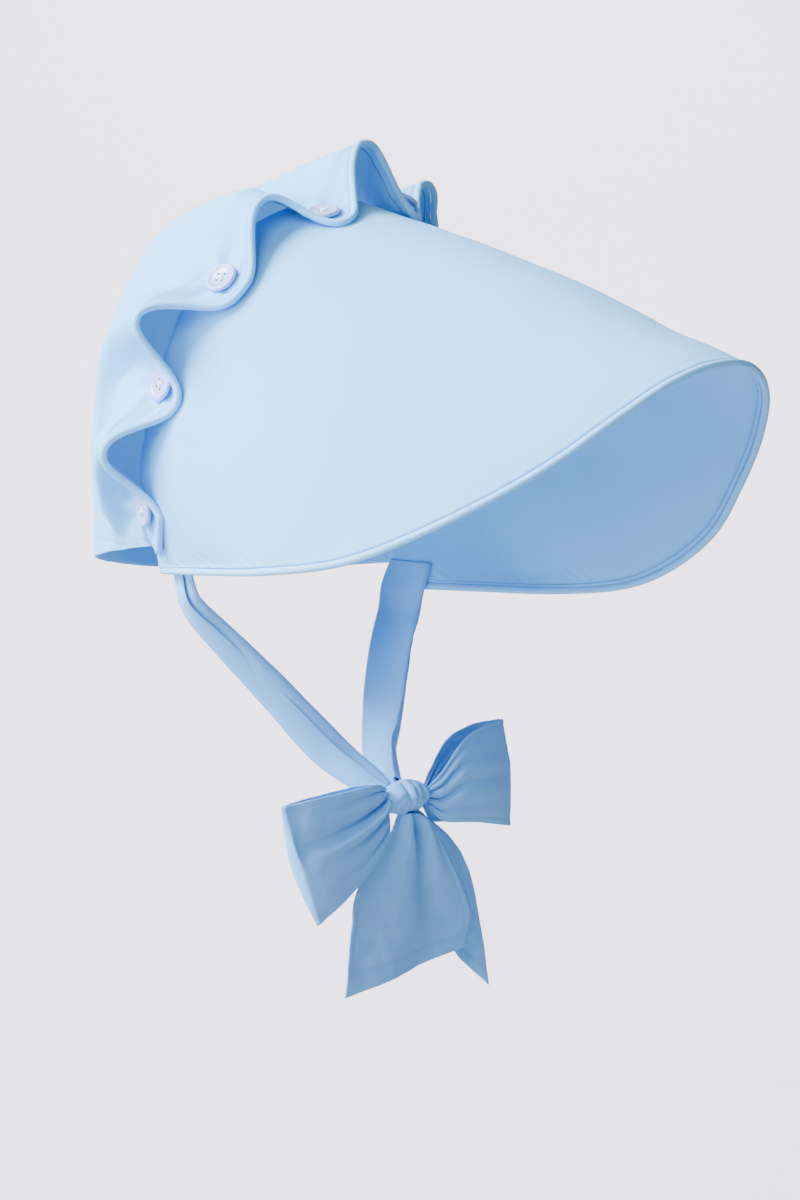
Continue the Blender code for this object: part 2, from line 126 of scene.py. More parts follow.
# Free edge of the brim: share of the way, out, ahead and down
RIM_ROWS = (
    (0.00, 0.000, 1.000, 0.000),
    (0.06, 0.172, 0.987, 0.031),
    (0.12, 0.325, 0.959, 0.120),
    (0.20, 0.482, 0.904, 0.297),
    (0.31, 0.651, 0.813, 0.552),
    (0.455, 0.863, 0.679, 0.823),
    (0.60, 0.980, 0.510, 1.016),
    (0.75, 0.996, 0.325, 1.055),
    (0.90, 0.855, 0.143, 1.030),
)
# Side view of the crown: share of the turn, fullness
PROFILE_ROWS = (
    (0.00, 1.00),
    (0.10, 0.99),
    (0.22, 0.96),
    (0.30, 0.86),
    (0.36, 0.75),
    (0.43, 0.61),
    (0.54, 0.42),
    (0.70, 0.24),
    (0.85, 0.10),
    (1.00, 0.00),
)
# Folds of the crown's edge: where each rises, reaches its top, leaves it and is down again; height
FOLD_ROWS = (
    (0.068, 0.083, 0.104, 0.168, 0.95),
    (0.196, 0.217, 0.234, 0.275, 0.98),
    (0.317, 0.374, 0.390, 0.408, 0.66),
    (0.444, 0.498, 0.513, 0.536, 1.00),
    (0.556, 0.592, 0.610, 0.646, 1.12),
    (0.675, 0.714, 0.732, 0.773, 0.85),
    (0.806, 0.846, 0.863, 0.923, 0.95),
)
# Valleys between the folds: share of the arch, reach ahead of it
VALLEY_ROWS = (
    (0.045, 0.76),
    (0.1805, 0.72),
    (0.300, 0.92),
    (0.424, 1.10),
    (0.545, 0.80),
    (0.660, 0.85),
    (0.789, 0.75),
    (0.942, 0.65),
)
# Each tie: share of the way; out, back and drop from knot to seam; width; facing angle
TIE_ROWS = (
    (0.00, 1.000, 1.00, 0.000, 0.26, 104.0),
    (0.10, 0.920, 1.00, 0.115, 0.25, 104.0),
    (0.22, 0.870, 0.99, 0.230, 0.24, 95.0),
    (0.40, 0.680, 0.84, 0.395, 0.27, 75.0),
    (0.60, 0.430, 0.60, 0.610, 0.32, 60.0),
    (0.80, 0.160, 0.31, 0.860, 0.34, 45.0),
    (0.92, 0.040, 0.09, 0.965, 0.26, 35.0),
    (1.00, 0.000, 0.00, 1.000, 0.18, 25.0),
)
# Section of a tie folded in three and in two: share of the ribbon's width; across; outward
THREE_FOLD_ROWS = (
    (-1.00, 0.60, -1.4),
    (-0.70, -0.20, -1.4),
    (-0.40, -0.93, -1.3),
    (-0.34, -1.00, -0.7),
    (-0.28, -0.93, -0.1),
    (0.00, 0.00, 0.0),
    (0.28, 0.93, 0.1),
    (0.34, 1.00, 0.7),
    (0.40, 0.93, 1.3),
    (0.70, 0.25, 1.4),
    (1.00, -0.38, 1.3),
)
TWO_FOLD_ROWS = (
    (-1.00, -0.80, 0.9),
    (-0.50, 0.10, 0.9),
    (-0.08, 0.93, 0.8),
    (0.00, 1.00, 0.0),
    (0.08, 0.93, -0.8),
    (0.50, 0.10, -0.9),
    (1.00, -1.00, -0.9),
)
# Loops from the knot to the outer fold: top edge out and up, bottom edge out and up, depth
LOOP_RIGHT_ROWS = (
    (0.175, 0.055, 0.150, -0.085, 0.40),
    (0.290, 0.077, 0.180, -0.285, 0.80),
    (0.520, 0.036, 0.380, -0.510, 1.00),
    (0.785, -0.012, 0.570, -0.680, 0.90),
    (0.950, -0.048, 0.685, -0.775, 0.50),
    (1.000, -0.060, 0.705, -0.800, 0.40),
)
LOOP_LEFT_ROWS = (
    (0.175, 0.060, 0.175, -0.060, 0.40),
    (0.260, 0.160, 0.270, -0.150, 0.90),
    (0.420, 0.360, 0.420, -0.160, 1.30),
    (0.620, 0.465, 0.640, -0.165, 1.20),
    (0.790, 0.500, 0.850, -0.185, 0.60),
    (0.830, 0.505, 0.895, -0.190, 0.45),
)
# Free ends from the knot to the cut: right edge out and down, left edge out and down
TAIL_FRONT_ROWS = (
    (-0.055, 0.084, 0.050, 0.084),
    (-0.110, 0.180, 0.150, 0.120),
    (-0.200, 0.310, 0.250, 0.265),
    (-0.320, 0.470, 0.345, 0.430),
    (-0.362, 0.740, 0.408, 0.600),
    (-0.383, 1.000, 0.360, 0.765),
)
TAIL_REAR_ROWS = (
    (0.020, 0.081, 0.100, 0.066),
    (0.060, 0.205, 0.350, 0.190),
    (0.100, 0.310, 0.495, 0.380),
    (0.110, 0.430, 0.570, 0.690),
    (0.130, 0.550, 0.610, 0.970),
)
# Creases: across at the knot end, across at the far end, depth, half width, where the crease dies out
LOOP_RIGHT_CREASES = (
    (0.16, 0.30, 5.5, 0.15, 0.95),
    (-0.30, -0.10, 3.4, 0.12, 0.60),
    (0.72, 0.65, 2.6, 0.10, 0.50),
    (-0.70, -0.60, 3.0, 0.12, 0.60),
    (-0.05, 0.02, -2.4, 0.12, 0.60),
)
LOOP_LEFT_CREASES = (
    (0.45, 0.40, 4.0, 0.13, 0.70),
    (-0.10, 0.00, 3.6, 0.14, 0.80),
    (-0.60, -0.55, 2.8, 0.12, 0.55),
    (0.80, 0.75, 2.2, 0.08, 0.60),
)
TAIL_FRONT_CREASES = (
    (0.30, 0.34, 8.5, 0.15, 1.00),
    (-0.15, -0.15, -4.0, 0.28, 1.05),
    (0.72, 0.66, -4.5, 0.17, 0.95),
    (-0.65, -0.60, 2.0, 0.16, 0.55),
    (0.05, 0.12, 2.4, 0.09, 0.45),
)
TAIL_REAR_CREASES = (
    (0.10, 0.10, 3.6, 0.20, 0.90),
    (0.60, 0.60, -2.8, 0.20, 0.90),
)
# Creases over the knot: place along it, lean, depth, half width
KNOT_CREASES = (
    (-0.66, 0.34, 0.8, 0.12),
    (-0.36, 0.10, 1.0, 0.07),
    (-0.12, -0.16, 1.3, 0.08),
    (0.10, -0.02, 1.1, 0.06),
    (0.30, 0.16, 1.2, 0.08),
    (0.58, -0.20, 1.0, 0.09),
    (0.82, 0.12, 0.8, 0.08),
)
# Buttons: profile out and up from the middle of the underside; their holes
BUTTON_PROFILE = (
    (0.0, 0.0), (7.6, 0.0), (8.5, 0.35), (8.95, 1.1), (8.8, 1.9), (8.2, 2.45), (7.6, 2.6), (7.0, 2.5),
    (6.5, 2.15), (6.1, 1.95), (3.4, 1.85), (0.0, 1.8),
)
HOLE_OFFSET = 1.7
HOLE_RADIUS = 1.0

# Studio, in metres: profile of the bowl, then each lamp's direction and size
STUDIO_PROFILE = ((0.0, 0.0), (3.5, 0.0), (4.3, 0.06), (5.0, 0.3), (5.6, 0.9), (5.9, 1.8), (6.0, 3.4))
FLOOR_DROP = 0.9
LAMP_ROWS = (
    ("Key", (-0.80, 0.55, 0.80), 1.3),
    ("Fill", (-1.0, -0.30, 0.50), 1.2),
    ("Side", (-1.0, 0.40, -0.02), 1.2),
    ("Top", (0.15, 0.1, 1.0), 2.0),
)
LAMP_AIM = (0, -0.05, -0.2)
LAMP_REACH = 2.6
# Lamp on the wall behind: place, aim and size; its spread
BACKDROP = ((1.7, 1.45, 2.4), (4.6, 3.9, 0.2), 3.0)
BACKDROP_SPREAD = 150.0
CAMERA_PLACE = (-1.52265, -1.31243, -0.31410)
CAMERA_TURN = -50.0
CAMERA_LIFT = -2.7
CAMERA_LENS = 111.11


def through(rows, at):
    """Values on the smooth curve through rows whose first column is the share, for an array of shares."""
    table = np.asarray(rows, float)
    at = np.asarray(at, float)
    stations, values = table[:, 0], table[:, 1:]
    slopes = np.gradient(values, stations, axis=0)
    i = np.clip(np.searchsorted(stations, at) - 1, 0, len(stations) - 2)
    step = (stations[i + 1] - stations[i])[..., None]
    t = (at - stations[i])[..., None] / step
    start = (1 + 2 * t) * (1 - t) ** 2 * values[i] + t * (1 - t) ** 2 * step * slopes[i]
    return start + t * t * (3 - 2 * t) * values[i + 1] + t * t * (t - 1) * step * slopes[i + 1]


def mirrored(rows):
    """Rows of the wearer's right side put before those of the left."""
    right = [(-row[0], -row[1]) + tuple(row[2:]) for row in rows[:0:-1]]
    return right + list(rows)


def spread_rows(rows):
    """The same rows with a share of the way put before each."""
    return [(n / (len(rows) - 1), *row) for n, row in enumerate(rows)]


def unit(vectors):
    return vectors / np.maximum(np.linalg.norm(vectors, axis=-1, keepdims=True), 1e-12)


def smoothstep(x):
    x = np.clip(x, 0.0, 1.0)
    return x * x * (3 - 2 * x)


def bump(x, width):
    """1 at x = 0, falling smoothly away over the width."""
    return np.exp(-(x / width) ** 2)


def row_dot(a, b):
    return np.sum(a * b, axis=-1)


def run_along(points):
    """Way from the first point to each, along them all."""
    return np.concatenate([[0], np.cumsum(np.linalg.norm(np.diff(points, axis=0), axis=1))])


ARCH_TABLE = mirrored([
    (share, out * ARCH_HALF_WIDTH, back * ARCH_LEAN, -down * ARCH_HEIGHT)
    for share, out, back, down in ARCH_ROWS
])
CORNER = ARCH_TABLE[-1]
RIM_TABLE = mirrored([
    (
        share,
        out * RIM_HALF_WIDTH,
        CORNER[2] - ahead * (CORNER[2] + BRIM_REACH),
        -BRIM_TIP_DROP + down * (CORNER[3] + BRIM_TIP_DROP),
    )
    for share, out, ahead, down in RIM_ROWS
] + [CORNER])


def arch(s):
    return through(ARCH_TABLE, s)


def rim(s):
    return through(RIM_TABLE, s)


def brim_depth(s):
    """Straight way from the arch to the free edge."""
    return np.linalg.norm(rim(s) - arch(s), axis=-1)


def brim_skin(s, t):
    t = np.asarray(t, float)[..., None]
    return (1 - t) * arch(s) + t * rim(s)


def brim_normal(s, t):
    s = np.clip(s, -0.96, 0.96)
    t = np.clip(t, 0.02, 0.98)
    along = brim_skin(s + 0.02, t) - brim_skin(s - 0.02, t)
    ahead = brim_skin(s, t + 0.02) - brim_skin(s, t - 0.02)
    return unit(np.cross(ahead, along))


def brim_outer(s, t):
    bow = BRIM_BOW * np.sin(math.pi * t) * (1 - s * s)
    return brim_skin(s, t) + bow[..., None] * brim_normal(s, t)


POLE_STATION = np.array([CROWN_SPAN_SHARE])
POLE = (arch(POLE_STATION) + CLEARANCE * brim_normal(POLE_STATION, np.zeros(1)))[0]


def sharp_height(at, spread):
    height = np.zeros_like(at)
    for rise, top, top_end, fall, share in FOLD_ROWS:
        up = smoothstep((at - rise + spread) / (top - rise + spread))
        down = smoothstep((fall + spread - at) / (fall + spread - top_end))
        height = np.maximum(height, share * up * down)
    return height


def softened(spread):
    """Heights of the folds along the arch, their corners rounded."""
    steps, margin = 2000, 60
    at = np.linspace(0, 1, steps + 1)
    reach = np.arange(-margin, margin + 1) / steps
    weights = np.exp(-(reach / FOLD_ROUNDING) ** 2)
    height = sharp_height(at, spread)
    soft = np.convolve(np.pad(height, margin, mode="edge"), weights / weights.sum(), mode="valid")
    return at, soft * FOLD_GROWTH


HEIGHTS = {spread: softened(spread) for spread in (0.0, EDGE_SPREAD)}


def ruffle_height(s, spread=0.0):
    return np.interp(0.5 + 0.5 * s, *HEIGHTS[spread])


def overlap(s):
    at = np.clip(0.5 + 0.5 * s, VALLEY_ROWS[0][0], VALLEY_ROWS[-1][0])
    valley = OVERLAP * through(VALLEY_ROWS, at)[..., 0]
    return valley + (OVERLAP_FOLD - valley) * np.minimum(ruffle_height(s, EDGE_SPREAD), 1.0)


def crown_base(s, v):
    station = s * CROWN_SPAN_SHARE
    ahead = np.maximum(-v, 0)
    t = ahead * np.minimum(overlap(s) / brim_depth(station), 0.3)
    lift = CLEARANCE + EDGE_LIFT * smoothstep(ahead * 1.6 - 0.6)
    front = brim_outer(station, t) + lift[..., None] * brim_normal(station, t)
    start = arch(station) + CLEARANCE * brim_normal(station, np.zeros_like(station))
    back, rise = start[..., 1] - POLE[1], start[..., 2] - POLE[2]
    turn_start = np.where(np.abs(s) < 1, np.arctan2(back, np.maximum(rise, 1e-6)), 0.0)
    radius_start = np.hypot(back, rise)
    quarter = 0.5 * math.pi
    nape_out = POLE[0] * np.sin(s * quarter)
    nape_radius = NAPE_DEPTH * np.cos(s * quarter)
    behind = np.maximum(v, 0)
    turn = turn_start + (math.radians(NAPE_TURN) - turn_start) * behind
    fullness = through(PROFILE_ROWS, np.minimum(behind * (1 + BACK_ROUNDING * s * s), 1.0))[..., 0]
    radius = nape_radius + (radius_start - nape_radius) * fullness
    across = start[..., 0] + (nape_out - start[..., 0]) * smoothstep(behind)
    rear = np.stack([across, POLE[1] + radius * np.sin(turn), POLE[2] + radius * np.cos(turn)], -1)
    return np.where((v < 0)[..., None], front, rear)


def crown_direction(s, v):
    s = np.clip(s, -0.97, 0.97)
    v = np.clip(v, 0.06, 0.96)
    along = crown_base(s + 0.02, v) - crown_base(s - 0.02, v)
    back = crown_base(s, v + 0.03) - crown_base(s, v - 0.03)
    return unit(np.cross(along, back))


def crown_inner(s, v):
    base = crown_base(s, v)
    run = np.where(v > 0, np.linalg.norm(base - crown_base(s, np.zeros_like(v)), axis=-1), 0.0)
    fade = np.maximum(0.0, 1 - run / RUFFLE_RUN) ** 1.25 * (1 - np.maximum(v, 0.0) ** 2)
    return base + (RUFFLE_HEIGHT * ruffle_height(s) * fade)[..., None] * crown_direction(s, v)


def crown_line(s, v):
    """Points of the crown's inner face along one row."""
    return crown_inner(s, np.full_like(s, v))


def crown_normal(s, v):
    s = np.clip(s, -0.985, 0.985)
    v = np.clip(v, -0.95, 0.95)
    along = crown_inner(s + 0.004, v) - crown_inner(s - 0.004, v)
    back = crown_inner(s, v + 0.03) - crown_inner(s, v - 0.03)
    return unit(np.cross(along, back))


def even_steps(curve, low, high, count):
    """Shares spaced evenly along a curve."""
    fine = np.linspace(low, high, 4000)
    run = run_along(curve(fine))
    return np.interp(np.linspace(0, run[-1], count), run, fine)


def wrinkles(points, size, seed, squeeze=(1, 1, 1)):
    """Soft uneven relief, about -1 to 1, for points in millimetres: waves that run in many directions."""
    draw = np.random.default_rng(seed)
    relief = np.zeros(len(points))
    scaled = points * np.array(squeeze) * (2 * math.pi / size)
    for octave in range(3):
        for wave in range(6):
            direction = unit(draw.normal(size=3)) * draw.uniform(0.7, 1.35) * 2.1 ** octave
            bend_way = unit(draw.normal(size=3)) * 0.6 * 2.1 ** octave
            bend = 0.8 * np.sin(scaled @ bend_way + draw.uniform(0, 6))
            relief += np.sin(scaled @ direction + bend + draw.uniform(0, 6)) * 0.36 * 0.32 ** octave
    return relief


def button_places():
    """Middle of each button's underside and the direction it faces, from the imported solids."""
    places = []
    for number in range(1, 9):
        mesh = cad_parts[f"button_{number}"].data
        points = np.array([vert.co for vert in mesh.vertices]) / MM
        middle = 0.5 * (points.min(0) + points.max(0))
        spread = np.linalg.svd(points - points.mean(0), full_matrices=False)[2]
        facing = spread[2]
        facing = facing * np.sign(row_dot(facing, middle - np.array([0, 40.0, -110.0])))
        along = (points - middle) @ facing
        middle = middle + facing * (along.min() + along.max()) / 2
        places.append((middle - facing * (along.max() - along.min()) / 2, facing))
    return places


BUTTONS = button_places()


# Building cloth


def new_grid(bm, across, along):
    """Vertices of a new grid, and their places on it from -1 to 1."""
    verts = bmesh.ops.create_grid(bm, x_segments=across, y_segments=along, size=1)["verts"]
    return verts, np.array([vert.co for vert in verts])


def grid_index(places, count):
    """Number of the column or row at each place from -1 to 1."""
    return np.rint((places + 1) / 2 * (count - 1)).astype(int)


def lay_chart(faces, chart, chart_of):
    """Give each corner of the faces its vertex's place on the chart."""
    for face in faces:
        for loop in face.loops:
            loop[chart].uv = chart_of[loop.vert]


def cloth(name, columns, rows, front, back, size, finish, seam=None, inner_painted_shade=None):
    """A piece of cloth: a grid laid on its outer face, one on its inner face, joined round the edge."""
    bm = bmesh.new()
    chart = bm.loops.layers.uv.new("cloth")
    # Seam attribute: how much painted seam shade each vertex gets, from the outer and inner rules.
    painted_shade_mask = bm.verts.layers.float.new("seam")
    chart_of = {}
    for place, painted_shade_rule in ((front, seam), (back, inner_painted_shade or seam)):
        grid, flat = new_grid(bm, len(columns) - 1, len(rows) - 1)
        column = np.asarray(columns)[grid_index(flat[:, 0], len(columns))]
        row = np.asarray(rows)[grid_index(flat[:, 1], len(rows))]
        points = place(column, row) * MM
        painted_shade_values = painted_shade_rule(column, row) if painted_shade_rule else np.zeros(len(grid))
        for vert, point, value, u, w in zip(grid, points, painted_shade_values, flat[:, 0], flat[:, 1]):
            vert.co = point
            vert[painted_shade_mask] = value
            chart_of[vert] = (0.5 * u * size[0] * MM, 0.5 * w * size[1] * MM)
    bmesh.ops.bridge_loops(bm, edges=[edge for edge in bm.edges if edge.is_boundary])
    lay_chart(bm.faces, chart, chart_of)
    bmesh.ops.recalc_face_normals(bm, faces=bm.faces)
    return finished(name, bm, finish)


def finished(name, bm, finish, smooth=True):
    """Object from a bmesh, its place in its mesh."""
    for face in bm.faces:
        face.smooth = smooth
    mesh = bpy.data.meshes.new(name)
    bm.to_mesh(mesh)
    bm.free()
    mesh.materials.append(finish)
    made = bpy.data.objects.new(name, mesh)
    bpy.context.scene.collection.objects.link(made)
    return made


def offset(surface, normal, relief):
    """The surface moved along its normal by the relief, both functions of column and row."""
    return lambda s, v: surface(s, v) + relief(s, v)[..., None] * normal(s, v)


def surface_normal(surface, s, v, low):
    """Normal of any surface by small steps that stay inside it; its rows run from low to 1."""
    s = np.clip(s, -0.98, 0.98)
    v = np.clip(v, low + 0.02, 0.98)
    along = surface(s + 0.01, v) - surface(s - 0.01, v)
    ahead = surface(s, v + 0.01) - surface(s, v - 0.01)
    return unit(np.cross(along, ahead))


def tube(bm, points, radius, sides):
    """A closed round tube along the points: a grid rolled up, its seam merged and its ends filled."""
    chart = bm.loops.layers.uv.verify()
    points = np.asarray(points)
    tangents = unit(np.gradient(points, axis=0))
    run = run_along(points)
    side = unit(np.cross(tangents[0], [0.3, 0.2, 1.0]))
    sides_at = []
    for tangent in tangents:
        side = unit(side - tangent * row_dot(side, tangent))
        sides_at.append(side)
    sides_at = np.array(sides_at)
    lifts = np.cross(tangents, sides_at)
    grid, flat = new_grid(bm, sides, len(points) - 1)
    angle = math.pi * flat[:, :1]
    ring = grid_index(flat[:, 1], len(points))
    placed = points[ring] + radius * (np.cos(angle) * sides_at[ring] + np.sin(angle) * lifts[ring])
    chart_of = {}
    for vert, point, turn, at in zip(grid, placed * MM, angle[:, 0] * radius * MM, run[ring] * MM):
        vert.co = point
        chart_of[vert] = (turn, at)
    lay_chart({face for vert in grid for face in vert.link_faces}, chart, chart_of)
    bmesh.ops.remove_doubles(bm, verts=grid, dist=0.01 * radius * MM)
    bmesh.ops.holes_fill(bm, edges=[edge for edge in bm.edges if edge.is_boundary], sides=0)


def cord(name, points, radius, finish, sides=16):
    """Piping: a round cord swept along the points, closed at both ends."""
    bm = bmesh.new()
    bm.loops.layers.uv.new("cloth")
    tube(bm, points, radius, sides)
    bmesh.ops.recalc_face_normals(bm, faces=bm.faces)
    return finished(name, bm, finish)


def stitches(name, lines, finish, length=2.2, gap=0.9, radius=0.22):
    """Rows of thread: one small capsule for each stitch. A line is its points and its outward directions."""
    bm = bmesh.new()
    for points, outward in lines:
        run = run_along(points)
        at = lambda rows, way: np.array([np.interp(way, run, rows[:, k]) for k in range(3)])
        for start in np.arange(gap, run[-1] - length, length + gap):
            first, last, up = at(points, start), at(points, start + length), unit(at(outward, start))
            along = unit(last - first)
            side = unit(np.cross(up, along))
            turn = Matrix((side, np.cross(along, side), along)).transposed().to_4x4()
            middle = Vector((0.5 * (first + last) + 0.4 * radius * up) * MM)
            size = Matrix.Diagonal((radius * MM, 0.7 * radius * MM, 0.5 * length * MM, 1))
            place = Matrix.Translation(middle) @ turn @ size
            bmesh.ops.create_icosphere(bm, subdivisions=1, radius=1, matrix=place)
    return finished(name, bm, finish)


def spun(profile, steps):
    """A profile of radius and height, in metres, spun once round the vertical axis."""
    bm = bmesh.new()
    verts = [bm.verts.new((out, 0, up)) for out, up in profile]
    edges = [bm.edges.new(pair) for pair in zip(verts, verts[1:])]
    bmesh.ops.spin(
        bm, geom=verts + edges, cent=(0, 0, 0), axis=(0, 0, 1),
        angle=2 * math.pi, steps=steps, use_merge=True, use_duplicate=False,
    )
    return bm


def dress(piece, slot, *nodes):
    """Hang a finished piece on the part."""
    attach(piece, "root")
    if nodes:
        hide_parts(*nodes)
    return piece


# Finishes


def socket(group, name, kind, way="INPUT", value=None):
    made = group.interface.new_socket(name=name, in_out=way, socket_type=kind)
    if value is not None:
        made.default_value = value
    return made


def math_node(tree, operation, first, second=None, third=None):
    node = tree.nodes.new("ShaderNodeMath")
    node.operation = operation
    for slot, value in enumerate((first, second, third)):
        if isinstance(value, (int, float)):
            node.inputs[slot].default_value = value
        elif value is not None:
            tree.links.new(value, node.inputs[slot])
    return node.outputs[0]


def mix_colour(tree, factor, first, second):
    """Colour between two; the first may be a socket."""
    mix = tree.nodes.new("ShaderNodeMix")
    mix.data_type = "RGBA"
    tree.links.new(factor, mix.inputs["Factor"])
    if isinstance(first, bpy.types.NodeSocket):
        tree.links.new(first, mix.inputs["A"])
    else:
        mix.inputs["A"].default_value = (*first, 1)
    mix.inputs["B"].default_value = (*second, 1)
    return mix.outputs["Result"]


def cloudiness(tree, scale, detail=2):
    """Soft noise in the piece's own space."""
    place = tree.nodes.new("ShaderNodeTexCoord")
    cloud = tree.nodes.new("ShaderNodeTexNoise")
    cloud.inputs["Scale"].default_value = scale
    cloud.inputs["Detail"].default_value = detail
    tree.links.new(place.outputs["Object"], cloud.inputs["Vector"])
    return cloud.outputs["Fac"]


def new_material(name, inputs):
    """A material with its shader's inputs set, its node tree and that shader."""
    made = bpy.data.materials.new(name)
    made.use_nodes = True
    shader = made.node_tree.nodes["Principled BSDF"]
    for key, value in inputs.items():
        shader.inputs[key].default_value = value
    return made, made.node_tree, shader


def plain_weave_group():
    """Plain weave: threads crossing over and under on the piece's own chart, with slubs."""
    group = bpy.data.node_groups.get("Plain weave")
    if group:
        return group
    group = bpy.data.node_groups.new("Plain weave", "ShaderNodeTree")
    socket(group, "Chart", "NodeSocketVector")
    socket(group, "Threads per metre", "NodeSocketFloat", value=1500.0)
    socket(group, "Slub", "NodeSocketFloat", value=0.5)
    socket(group, "Height", "NodeSocketFloat", "OUTPUT")
    socket(group, "Shade", "NodeSocketFloat", "OUTPUT")
    links = group.links
    entry, leave = group.nodes.new("NodeGroupInput"), group.nodes.new("NodeGroupOutput")
    scale = group.nodes.new("ShaderNodeVectorMath")
    scale.operation = "SCALE"
    links.new(entry.outputs["Chart"], scale.inputs[0])
    links.new(entry.outputs["Threads per metre"], scale.inputs["Scale"])
    split = group.nodes.new("ShaderNodeSeparateXYZ")
    links.new(scale.outputs[0], split.inputs[0])
    warp = math_node(group, "SINE", math_node(group, "MULTIPLY", split.outputs[0], math.pi))
    weft = math_node(group, "SINE", math_node(group, "MULTIPLY", split.outputs[1], math.pi))
    weave = math_node(group, "MULTIPLY", warp, weft)
    stretch = group.nodes.new("ShaderNodeVectorMath")
    stretch.operation = "MULTIPLY"
    stretch.inputs[1].default_value = (1, 0.18, 1)
    links.new(scale.outputs[0], stretch.inputs[0])
    slub = group.nodes.new("ShaderNodeTexNoise")
    slub.inputs["Scale"].default_value = 0.045
    slub.inputs["Detail"].default_value = 5
    links.new(stretch.outputs[0], slub.inputs["Vector"])
    slubs = math_node(group, "SUBTRACT", slub.outputs["Fac"], 0.5)
    slubs = math_node(group, "MULTIPLY", slubs, entry.outputs["Slub"])
    height = math_node(group, "ADD", math_node(group, "MULTIPLY", weave, 0.25), slubs)
    links.new(height, leave.inputs["Height"])
    threads = math_node(group, "MULTIPLY", weave, 0.06)
    links.new(math_node(group, "ADD", slub.outputs["Fac"], threads), leave.inputs["Shade"])
    return group


def cotton(name, colour, deep, sheen, painted_seam_shade, threads=1500.0):
    """Cotton with a plain weave; colour at the crests, deep between, and painted shade in the seam colour
    where the seam attribute is 1: a dark line standing in for the shade in seam and hem grooves.
    """
    made = bpy.data.materials.get(name)
    if made:
        return made
    made, tree, shader = new_material(name, {
        "Roughness": 0.82, "Specular IOR Level": 0.14,
        "Sheen Weight": sheen, "Sheen Roughness": 0.45, "Sheen Tint": (0.85, 0.93, 1.0, 1),
    })
    links = tree.links
    chart = tree.nodes.new("ShaderNodeUVMap")
    chart.uv_map = "cloth"
    weave = tree.nodes.new("ShaderNodeGroup")
    weave.node_tree = plain_weave_group()
    weave.inputs["Threads per metre"].default_value = threads
    links.new(chart.outputs["UV"], weave.inputs["Chart"])
    clouds = math_node(tree, "MULTIPLY", cloudiness(tree, 14, 3), 0.5)
    shade = math_node(tree, "MULTIPLY_ADD", weave.outputs["Shade"], 0.5, clouds)
    # Painted shade: the seam attribute turns the colour to the dark seam colour, in place of the shade that
    # lies in seam and hem grooves.
    painted_shade_mask = tree.nodes.new("ShaderNodeAttribute")
    painted_shade_mask.attribute_name = "seam"
    plain = mix_colour(tree, shade, deep, colour)
    links.new(mix_colour(tree, painted_shade_mask.outputs["Fac"], plain, painted_seam_shade), shader.inputs["Base Color"])
    links.new(math_node(tree, "MULTIPLY_ADD", weave.outputs["Shade"], 0.18, 0.70), shader.inputs["Roughness"])
    relief = tree.nodes.new("ShaderNodeBump")
    relief.inputs["Strength"].default_value = 0.55
    relief.inputs["Distance"].default_value = WEAVE_HEIGHT * MM
    links.new(weave.outputs["Height"], relief.inputs["Height"])
    links.new(relief.outputs["Normal"], shader.inputs["Normal"])
    return made


def moulded(name, colour, roughness):
    """Smooth moulded plastic with a faint cloudiness and a soft polish."""
    made, tree, shader = new_material(name, {
        "Coat Weight": 0.35, "Coat Roughness": 0.12, "Subsurface Weight": 0.15, "Subsurface Scale": 0.002,
    })
    clouds = cloudiness(tree, 160)
    tree.links.new(mix_colour(tree, clouds, [0.93 * c for c in colour], colour), shader.inputs["Base Color"])
    tree.links.new(math_node(tree, "MULTIPLY_ADD", clouds, 0.12, roughness), shader.inputs["Roughness"])
    return made


def outside_cotton():
    look = bpy.context.scene.bonnet_colours
    return cotton("Blue cotton", look.cloth, look.cloth_deep, 0.08, look.seam)


def piping_cotton():
    look = bpy.context.scene.bonnet_colours
    return cotton("Piping cotton", look.piping, look.cloth, 0.08, look.seam, threads=1700.0)


def thread():
    look = bpy.context.scene.bonnet_colours
    return cotton("Sewing thread", look.thread, look.cloth, 0.3, look.seam, threads=3000.0)


# Pieces


